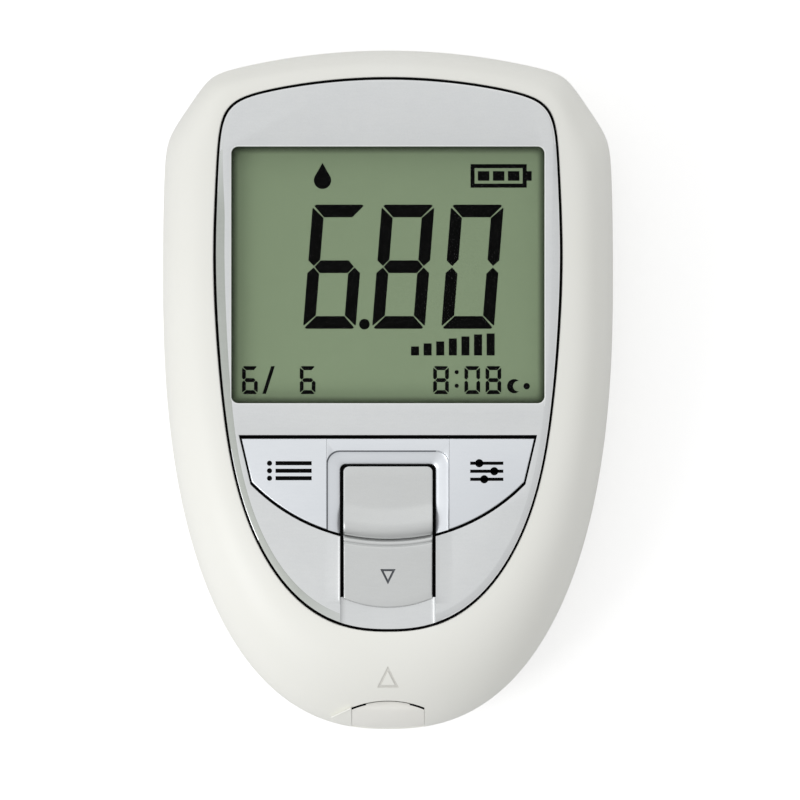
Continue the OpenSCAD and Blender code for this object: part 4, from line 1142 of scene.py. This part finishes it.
BATTERY_BOX = (11.86, 29.05, 19.92, 32.43)
BATTERY_LINE = 0.58
BATTERY_CAP = (19.92, 30.05, 20.64, 31.42)
BATTERY_BARS_X = (12.91, 15.07, 17.23)
BATTERY_BAR_W = 1.65
SCALE_X = 3.31
SCALE_Y = 4.96
SCALE_PITCH = 1.81
SCALE_BAR_W = 1.15
SCALE_HEIGHTS = (1.29, 1.73, 2.01, 2.44, 2.73, 3.02, 3.16)
MOON = (18.12, 0.55)
MOON_R = 1.01
MOON_BITE_X = 0.58
MOON_BITE_R = 0.75
MOON_DOT_X = 1.8
MOON_DOT_R = 0.46

display_face = Finish("display_face", Specular_IOR_Level=0.1)
speckle = display_face.noise(0.25, 2)
sheen = display_face.noise(24, 2)
face_green = display_face.mix(sheen, tone(146, 164, 132), tone(150, 169, 136))
face_green = display_face.mix(speckle * 0.5, face_green, tone(139, 157, 126))
# Painted shade: the face darkens towards the window's edge, where the plate's rim shades it.
side_room = WINDOW_W / 2 * MM - display_face.along(0).size()
end_room = WINDOW_H / 2 * MM - (display_face.along(1) - WINDOW_Y * MM).size()
room = display_face.add(
    "ShaderNodeMath", {"operation": "SMOOTH_MIN"}, {0: side_room, 1: end_room, 2: SHADE_CORNER * MM}
)
shaded_edge = display_face.add(
    "ShaderNodeValToRGB", {"stops": [(at, (grey, grey, grey, 1)) for at, grey in SHADE_STOPS]},
    {0: room * (1 / (SHADE_W * MM))},
)
display_face.feed("Base Color", display_face.mix(shaded_edge, tone(30, 36, 28), face_green))
display_face.feed("Roughness", speckle * 0.1 + 0.3)
dress(display_face, "lcd_glass")
film_outline = rounded_rect(
    WINDOW_MIDDLE, WINDOW_W + FILM_LAP, WINDOW_H + FILM_LAP, WINDOW_CORNER_R
)
new_piece("display_film", prism(film_outline, *FILM_Z), display_face, "housing")
segment_ink = grained(
    "segment_ink", (0.001, 0.001, 0.001, 1), (0.003, 0.003, 0.003, 1), 0.5, 0.35, 0.03
)


def segments(w, h, bar, side, gap, chamfer):
    """The seven segments of one digit from its lower left corner, by their usual letters."""
    mid = h / 2
    inner, outer = side + gap / 2, side / 2 + gap
    top = [
        (chamfer + gap, h), (w - chamfer - gap, h), (w - chamfer / 3 - gap, h - chamfer / 2),
        (w - inner, h - bar), (inner, h - bar), (chamfer / 3 + gap, h - chamfer / 2),
    ]
    left = [
        (0, h - chamfer * 1.2 - gap), (chamfer / 3, h - chamfer - gap), (side, h - bar - gap),
        (side, mid + bar / 2 + gap), (side / 2, mid + gap), (0, mid + bar / 2),
    ]
    middle = [
        (outer, mid), (inner, mid + bar / 2), (w - inner, mid + bar / 2),
        (w - outer, mid), (w - inner, mid - bar / 2), (inner, mid - bar / 2),
    ]
    low_left = [(x, h - y) for x, y in left]
    return {
        "a": top, "f": left, "g": middle, "e": low_left,
        "b": [(w - x, y) for x, y in left], "c": [(w - x, y) for x, y in low_left],
        "d": [(x, h - y) for x, y in top],
    }


LIT = {"0": "abcdef", "6": "acdefg", "8": "abcdefg"}


def anticlockwise(outline):
    edges = zip(outline, outline[1:] + outline[:1])
    area = sum(a[0] * b[1] - b[0] * a[1] for a, b in edges)
    return outline if area > 0 else outline[::-1]


def digit(sign, x, foot_y, sizes, lean=0.0):
    shapes = segments(**sizes)
    return [[(x + px + py * lean, foot_y + py) for px, py in shapes[name]] for name in LIT[sign]]


marks = []
for sign, x in VALUE_DIGITS:
    marks += digit(sign, x, VALUE_Y, VALUE_SIZES, VALUE_LEAN)
marks.append(disc(VALUE_POINT, VALUE_POINT_R, 32))
for sign, x in SMALL_DIGITS:
    marks += digit(sign, x, SMALL_Y, SMALL_SIZES)
marks.append(SLASH)
marks += [disc((COLON_X, y), COLON_R, 20) for y in COLON_Y]
marks.append([(DROP_X, DROP_TIP_Y)] + arc((DROP_X, DROP_Y), DROP_R, 155, 385, 33))
low_x, low_y, high_x, high_y = BATTERY_BOX
bars_low_y, bars_high_y = BATTERY_CAP[1], BATTERY_CAP[3]
marks += [
    rect(low_x, low_y, high_x, low_y + BATTERY_LINE),
    rect(low_x, high_y - BATTERY_LINE, high_x, high_y),
    rect(low_x, low_y + BATTERY_LINE, low_x + BATTERY_LINE, high_y - BATTERY_LINE),
    rect(high_x - BATTERY_LINE, low_y + BATTERY_LINE, high_x, high_y - BATTERY_LINE),
    rect(*BATTERY_CAP),
]
marks += [rect(x, bars_low_y, x + BATTERY_BAR_W, bars_high_y) for x in BATTERY_BARS_X]
for i, h in enumerate(SCALE_HEIGHTS):
    x = SCALE_X + i * SCALE_PITCH
    marks.append(rect(x, SCALE_Y, x + SCALE_BAR_W, SCALE_Y + h))
marks.append(
    arc(MOON, MOON_R, 48, 312, 25)
    + arc((MOON[0] + MOON_BITE_X, MOON[1]), MOON_BITE_R, 278, 82, 19)
)
marks.append(disc((MOON[0] + MOON_DOT_X, MOON[1]), MOON_DOT_R, 24))
ink_marks = joined([prism(anticlockwise(mark), FILM_Z[1], FILM_Z[1] + INK_T) for mark in marks])
new_piece("segments", ink_marks, segment_ink, "housing")


# Keys and collar
# Three silver-coated pieces in the D-shaped opening: a wing on each side that tips down about its
# inner edge, and a fixed collar between them whose top sinks in a hollow slope towards the slider.
KEY_Z = 22.1
KEY_FILLET = 0.2
KEY_TOP_SHIFT = -0.22
SEAM_X = 8.8
SEAM = 0.03
SEAM_STOCK = 0.4
FIELD_LOW_Y = -40
FIELD_PAST_X = 30
POST_R = 1.4
COLLAR_R = 0.8
COLLAR_GROWTH = 0.55
CLEAR = 0.5
ROOT = 0.2
COLLAR_SLOPE = [
    (1.98, -0.5), (1.98, 0), (1.95, 0.02), (1.9, 0.1), (1.83, 0.22), (1.76, 0.3), (1.66, 0.34),
    (1.4, 0.4), (1.1, 0.47), (0.8, 0.54), (0.5, 0.62), (0.16, 0.72), (0.04, 0.8), (0, 0.9),
    (-0.1, 1.0),
]

key_silver = silver_coat("key_coat", tone(228, 233, 239), tone(234, 238, 242), tone(242, 245, 249))
# Dark coat: painted shade on the collar's rim step and in the slider's engraved arrow.
groove_shade_silver = silver_coat(
    "groove_painted_shade", tone(92, 96, 104), tone(106, 110, 116), tone(120, 124, 130), 0.1, 0.5
)


def field_slice(low_x, high_x):
    """The part of the key field between two upright lines, anticlockwise."""
    field = key_field(0, KEY_TOP_SHIFT, 121)
    top = field[0][1]

    def foot(x):
        return KEY_ARC_Y - math.sqrt(KEY_ARC_R**2 - x * x)

    lower = [(x, y) for x, y in field[2:] if low_x + CLEAR < x < high_x - CLEAR]
    left = [(-KEY_HALF_W, top)] if low_x < -KEY_HALF_W else [(low_x, top), (low_x, foot(low_x))]
    right = [(KEY_HALF_W, top)] if high_x > KEY_HALF_W else [(high_x, foot(high_x)), (high_x, top)]
    return left + lower + right


def key_wing(name, key, side):
    edge = SEAM_X + SEAM / 2
    span = sorted((side * (edge - SEAM_STOCK), side * FIELD_PAST_X))
    wing = new_piece(
        name, plate(field_slice(*span), KEY_Z, FACE_Z, KEY_FILLET), key_silver, key,
        key,
    )
    seam_cut = block((-edge, FIELD_LOW_Y, KEY_Z - OVERCUT), (edge, 0, FACE_Z + OVERCUT))
    combine(wing, "DIFFERENCE", seam_cut)
    post_z = box_mm(key)[0][2]
    combine(wing, "UNION", rod((side * POST[0], POST[1]), POST_R, post_z, KEY_Z + ROOT))
    shade(wing, 30)
    coat_tops(wing)


key_wing("left_wing", "left_key", -1)
key_wing("right_wing", "right_key", 1)


def slot_ring(offset, z):
    """Level ring round the slot, let out by an offset; its corners stay tight as it grows."""
    half_w = SLOT_HALF_W + offset
    top = SLOT_TOP_Y + offset
    radius = COLLAR_R + COLLAR_GROWTH * offset
    outline = [(-half_w, TAIL_CUT_Y), (half_w, TAIL_CUT_Y)]
    outline += arc((half_w - radius, top - radius), radius, 0, 90, 13)
    outline += arc((radius - half_w, top - radius), radius, 90, 180, 13)
    return level(outline, z)


collar_half = SEAM_X + SEAM_STOCK
collar_blank = plate(field_slice(-collar_half, collar_half), PAD_Z, FACE_Z, KEY_FILLET)
collar = new_piece(
    "collar", collar_blank, key_silver, "housing", "key_collar"
)
seam_edge = SEAM_X - SEAM / 2
combine(
    collar, "DIFFERENCE",
    block((seam_edge, FIELD_LOW_Y, PAD_Z - OVERCUT), (KEY_HALF_W, 0, FACE_Z + OVERCUT)),
    block((-KEY_HALF_W, FIELD_LOW_Y, PAD_Z - OVERCUT), (-seam_edge, 0, FACE_Z + OVERCUT)),
    lofted([slot_ring(0, PAD_Z - OVERCUT), slot_ring(0, FACE_Z + OVERCUT)]),
    lofted([slot_ring(offset, FACE_Z - drop) for offset, drop in COLLAR_SLOPE[::-1]]),
)
combine(collar, "UNION", on_both_sides(PEG[0], lambda x: rod(
    (x, PEG[1]), PEG_R, FLOOR_Z, PAD_Z + ROOT, 32
)))
shade(collar, 30)
coat_tops(collar)
collar.data.materials.append(groove_shade_silver.material)
for face, x, y, z, normal in faces_of(collar):
    # The steep step at the collar's rim is painted darker: painted shade.
    rim_step = UPRIGHT < normal.z < 0.9 and FACE_Z - 0.33 < z < FACE_Z - 0.04
    if rim_step and x < SLOT_HALF_W and y < KEY_TOP_Y - 1:
        face.material_index = 2


# Slider
# The ejector's thumb piece, moulded and silver-coated: a flat scoop, a swept ridge with a steep
# lower side, a fine bead below it and a flat plate with an engraved arrow down to the curved foot.
SLIDER_TOP_Y = -10.95
SLIDER_FOOT_Y = -31.2
SLIDER_FOOT_R = 16
SLIDER_Z = 22.7
SLIDER_TOE_Z = 22.97
SLIDER_TOE_Y = -26.5
SLIDER_ROUND = 0.2
SCOOP_Z = 23.15
SWEEP_Y = 9.45
RISE_Y = -16.8
RIDGE_Y = -19.6
CREASE_Y = -21.4
CREST_Z = 24.2
RIDGE_DROP = 1.2
SLIDER_SLOPE = [
    (RISE_Y + (RIDGE_Y - RISE_Y) * t,
     SCOOP_Z + (CREST_Z - SCOOP_Z) * (1 - math.cos(math.pi * t)) / 2)
    for t in np.linspace(0, 1, 15)
]
SLIDER_SLOPE += [
    (RIDGE_Y + (CREASE_Y - RIDGE_Y) * math.sin(t), CREST_Z - RIDGE_DROP * (1 - math.cos(t)))
    for t in np.radians([8, 16, 24, 32, 40, 48, 56, 63, 70, 76, 82, 88])
]
SLIDER_SLOPE += [
    (-21.45, 23.1), (-21.55, 23.14), (-21.68, 23.3), (-21.85, 23.46), (-22.02, 23.5),
    (-22.17, 23.47), (-22.29, 23.38), (-22.37, 23.27), (-22.45, 23.26), (-22.53, 23.34),
    (-22.65, 23.4), (-22.8, 23.41),
]
EDGE_STEPS = (0, 0.015, 0.05, 0.1, 0.2)
ARROW_Y = -26.775
ARROW_H = 2.2
ARROW_LINE = 0.3
ARROW_Z = 23.02
ARROW_ROOM = 1.4
ROOT_Z = SLIDER_Z + 0.3
KEEL = ((-2.6, -24, 18.95), (2.6, -16, ROOT_Z))
RUNNER_X = 5.5
RUNNER_W = 0.8
RUNNER_Y = (-16.45, -11.75)
RUNNER_Z = 21.6


def slider_top(x):
    past = max(0.0, abs(x) - (SLIDER_HALF_W - COLLAR_R))
    return SLIDER_TOP_Y - COLLAR_R + math.sqrt(COLLAR_R**2 - past**2)


def slider_foot(x):
    return SLIDER_FOOT_Y + SLIDER_FOOT_R - math.sqrt(SLIDER_FOOT_R**2 - x * x)


def slider_column(x):
    """Closed loop round the slider's section at one distance from its middle."""
    top, foot = slider_top(x), slider_foot(x)

    def swept(y):
        return SWEEP_Y - math.sqrt((SWEEP_Y - y) ** 2 - x * x)

    edge = EDGE_STEPS[-1]
    first, last = swept(SLIDER_SLOPE[0][0]), swept(SLIDER_SLOPE[-1][0])
    plate_z = SLIDER_SLOPE[-1][1]
    skin = [(top - d, SCOOP_Z) for d in EDGE_STEPS]
    skin += [(top - edge + w * (first - top + edge), SCOOP_Z) for w in (0.3, 0.6, 0.9)]
    skin += [(swept(y), z) for y, z in SLIDER_SLOPE]
    skin += [
        (last + w * (foot + edge - last), plate_z + w * (SCOOP_Z - plate_z))
        for w in (0.1, 0.35, 0.6, 0.85)
    ]
    skin += [(foot + d, SCOOP_Z) for d in EDGE_STEPS[::-1]]
    loop = [
        (x, foot, SLIDER_TOE_Z), (x, SLIDER_TOE_Y, SLIDER_TOE_Z),
        (x, SLIDER_TOE_Y, SLIDER_Z), (x, top, SLIDER_Z),
    ]
    for y, z in skin:
        away = max(0.0, min(SLIDER_HALF_W - abs(x), top - y, y - foot))
        short = max(0.0, SLIDER_ROUND - away)
        loop.append((x, y, z - SLIDER_ROUND + math.sqrt(SLIDER_ROUND**2 - short**2)))
    return np.array(loop)


slider_silver = silver_coat(
    "slider_coat", tone(206, 208, 208), tone(214, 216, 214), tone(226, 228, 228)
)
half_columns = [0, 0.8, 1.6, 2.4, 3.2, 4.0, 4.7, 5.3, 5.7, 6.0, 6.2, 6.3, 6.35, 6.385, 6.4]
columns = [-x for x in half_columns[:0:-1]] + half_columns
thumb_piece = new_piece(
    "thumb_piece", lofted([slider_column(x) for x in columns]), slider_silver, "slider",
    "ejector_slider",
)
runners = [
    block((x, RUNNER_Y[0], RUNNER_Z), (x + RUNNER_W, RUNNER_Y[1], ROOT_Z))
    for x in (RUNNER_X, -RUNNER_X - RUNNER_W)
]
combine(thumb_piece, "UNION", block(*KEEL), *runners)
combine(thumb_piece, "DIFFERENCE", band(
    arrow(0, ARROW_Y, ARROW_H), arrow(ARROW_LINE, ARROW_Y, ARROW_H),
    lambda x, y: ARROW_Z, lambda x, y: CREST_Z + OVERCUT,
))
shade(thumb_piece, 32)
coat_tops(thumb_piece)
thumb_piece.data.materials.append(groove_shade_silver.material)
for face, x, y, z, _ in faces_of(thumb_piece):
    # The engraved arrow's floor has the dark coat: painted shade in the groove.
    near_arrow = max(abs(x), abs(y - ARROW_Y)) < ARROW_ROOM
    if near_arrow and ARROW_Z - 0.04 < z < ARROW_Z + 0.08:
        face.material_index = 2


# Signs on the keys
# Printed in black on the silver coat, as plain signs: a list of entries on the left key and three
# sliders on the right one.
SIGN_Z = (FACE_Z - 0.05, FACE_Z + 0.012)
LIST_ROWS_Y = (-10.5, -11.58, -12.65)
LIST_DOT_X = -16.97
LIST_DOT_R = 0.37
LIST_BAR_X = (-16.11, -10.93)
LIST_BAR_H = 0.58
KNOBS = [(13.09, -10.5), (15.24, -11.65), (13.8, -12.8)]
KNOB_R = 0.59
KNOB_LINE_X = (11.79, 16.54)
KNOB_LINE_H = 0.46


def row(ends_x, y, h):
    return rect(ends_x[0], y - h / 2, ends_x[1], y + h / 2)


list_sign = [disc((LIST_DOT_X, y), LIST_DOT_R, 24) for y in LIST_ROWS_Y]
list_sign += [row(LIST_BAR_X, y, LIST_BAR_H) for y in LIST_ROWS_Y]
slider_sign = [row(KNOB_LINE_X, y, KNOB_LINE_H) for _, y in KNOBS]
slider_sign += [disc(knob, KNOB_R, 24) for knob in KNOBS]
for name, key, sign in [
    ("list_sign", "left_key", list_sign), ("slider_sign", "right_key", slider_sign)
]:
    printed = joined([prism(shape, *SIGN_Z) for shape in sign])
    new_piece(name, printed, segment_ink, key)


# Strip guide
# Smooth cream insert in the notch at the narrow end. Its skin follows the dome and stops short of
# the notch's arc, where the test strip slips in over the sill.
GUIDE_GAP = 0.04
GUIDE_SINK = 0.12
GUIDE_TAIL = 0.32
GUIDE_Z = PART_Z + 0.02
LIP_Z = 17.9
LIP_BLEND = 5
SILL_Z = 17.1
SILL_HALF_W = 4.2
SLIT_Z = 15.4
SLIT_OUT = 0.3
SLIT_W = 0.3
SLITS = [(-5.3, -3.3, SLIT_W), (3.6, 5.3, SLIT_W), (-3.4, 3.7, 0.14)]
cream = grained(
    "cream_insert", tone(243, 242, 236), tone(247, 246, 241), 6, 0.3, 0.45, spread=0.08
)


def tail_y(x):
    """Lower end of the body's outline at a distance from its middle."""
    high, low = 0.0, TAIL_CUT_Y
    for _ in range(40):
        middle = (high + low) / 2
        a = np.array([math.atan2(middle - BELLY_Y, x)])
        inside = math.hypot(x, middle - BELLY_Y) < body_reach(a)[0]
        high, low = (middle, low) if inside else (high, middle)
    return low


def guide_column(x):
    """Section of the insert; its skin bends softly from the dome to the level lip."""
    top = NOTCH_Y - NOTCH_R + math.sqrt((NOTCH_R - GUIDE_GAP) ** 2 - x * x)
    foot = tail_y(x) + GUIDE_TAIL
    loop = [(x, top, GUIDE_Z), (x, foot, GUIDE_Z)]
    for t in np.linspace(0, 1, 26):
        y = foot + (top - foot) * t * t
        levels = (skin_height(x, y) - GUIDE_SINK, LIP_Z)
        least = -math.log(sum(math.exp(-LIP_BLEND * z) for z in levels)) / LIP_BLEND
        loop.append((x, y, least))
    return np.array(loop)[::-1]


def arc_slit(low_x, high_x, width):
    """Cutter along the notch's arc, where the slot shows beside the insert."""
    middle = (0, NOTCH_Y - NOTCH_R)
    start, end = (math.degrees(math.acos(x / NOTCH_R)) for x in (high_x, low_x))
    outer = arc(middle, NOTCH_R + SLIT_OUT, start, end, 9)
    inner = arc(middle, NOTCH_R - width, start, end, 9)
    return prism(outer + inner[::-1], SLIT_Z, RIM_Z)


guide_half_w = NOTCH_HALF_W - GUIDE_GAP
guide_columns = [guide_column(x) for x in np.linspace(-guide_half_w, guide_half_w, 41)]
insert = new_piece(
    "strip_insert", lofted(guide_columns), cream, "housing", "strip_guide"
)
sill = block((-SILL_HALF_W, NOTCH_Y - 1, GUIDE_Z), (SILL_HALF_W, GUIDE_BACK_Y, SILL_Z))
combine(insert, "UNION", sill)
combine(insert, "DIFFERENCE", *[arc_slit(*slit) for slit in SLITS])
shade(insert, 30)
insert.data.materials.append(bare_black_and_shade.material)
for face, x, y, _, _ in faces_of(insert):
    # The side slits' walls are bare black: painted shade, as dark as the slot behind them.
    along_slit = math.hypot(x, y - NOTCH_Y + NOTCH_R) > NOTCH_R - SLIT_W - 0.01
    if along_slit and 3.2 < abs(x) < 5.2 and y < -43:
        face.material_index = 1


# Inner parts
# Seen through the gaps, through the open battery bay and in the exploded set: plain mouldings,
# plated steel, a green board with its chips, gold contacts and the two cells.
CELL_BASE = 1.0
CELL_CAP = 1.8
CELL_STRIPE = (29, 35)

moulding = grained("inner_moulding", tone(222, 222, 216), tone(230, 230, 225), 0.6, 0.45, 0.4)
dress(moulding, "lcd_holder", "ejector_arm", "strip_connector")

rubber = Finish("layered_rubber", Specular_IOR_Level=0.3)
layers = rubber.add(
    "ShaderNodeTexWave", {"wave_type": "BANDS", "bands_direction": "X"},
    {"Vector": rubber.place(), "Scale": 1600},
)
rubber.feed("Base Color", rubber.mix(layers, tone(205, 130, 140), tone(60, 50, 52)))
rubber.feed("Roughness", layers * 0.1 + 0.6)
dress(rubber, "zebra_strips")


def plated(name, dark, light, rough, grain_mm):
    """Metal with a drawn grain and clouded gloss."""
    metal = Finish(name, Metallic=1.0)
    clouds = metal.noise(2.5, 3)
    grain = metal.noise(grain_mm, 2)
    metal.feed("Base Color", metal.mix(clouds, dark, light))
    metal.feed("Roughness", grain * 0.15 + rough)
    metal.relief(0.004, grain)
    return metal


nickel = plated("nickel_plate", tone(190, 190, 186), tone(214, 213, 208), 0.22, 0.2)
zinc = plated("zinc_plate", tone(168, 172, 176), tone(196, 199, 203), 0.3, 0.3)
gold = plated("gold_plate", tone(214, 176, 96), tone(232, 200, 124), 0.2, 0.3)
dress(
    nickel, "left_dome", "right_dome", "ejector_spring", "bridge_contact", "plus_contact",
    "minus_contact",
)
dress(zinc, "slider_screw", "housing_screws", "board_screws", "crystal")
dress(gold, "strip_contacts")

mask_green = Finish("solder_mask", Specular_IOR_Level=0.6)
tracks = mask_green.add(
    "ShaderNodeTexBrick", {"offset": 0.35},
    {"Vector": mask_green.place(), "Scale": 140, "Mortar Size": 0.05, "Mortar Smooth": 0.2},
    output=1,
)
mask_green.feed("Base Color", mask_green.mix(tracks, tone(20, 92, 52), tone(38, 124, 74)))
mask_green.feed("Roughness", tracks * 0.1 + 0.28)
mask_green.relief(0.02, tracks)
dress(mask_green, "main_board")

epoxy = grained(
    "chip_epoxy", tone(30, 30, 32), tone(44, 44, 46), 0.25, 0.5, 0.4, spread=0.2, detail=3
)
dress(epoxy, "microcontroller", "analog_chip", "buzzer")

ceramic = grained(
    "ceramic_chip", tone(148, 124, 100), tone(176, 152, 124), 0.4, 0.4, 0.5, spread=0.2
)
dress(ceramic, "passives")

jacket = Finish("cell_jacket", Specular_IOR_Level=0.5)
cell_low, cell_high = (corner[1] for corner in box_mm("left_cell"))
cell_y = jacket.along(1)
base_end = cell_y.below((cell_low + CELL_BASE) * MM)
cap_end = cell_y.above((cell_high - CELL_CAP) * MM)
bare_ends = (base_end + cap_end).clamped()
stripe_low, stripe_high = ((cell_low + distance) * MM for distance in CELL_STRIPE)
stripe = cell_y.above(stripe_low) * cell_y.below(stripe_high)
scuffs = jacket.noise(1.5, 4)
print_ink = jacket.mix(stripe, tone(152, 158, 168), tone(70, 84, 104))
jacket.feed("Base Color", jacket.mix(bare_ends, print_ink, tone(206, 206, 202)))
jacket.feed("Metallic", bare_ends * 0.7 + 0.3)
jacket.feed("Roughness", scuffs * 0.2 + 0.2)
dress(jacket, "left_cell", "right_cell")
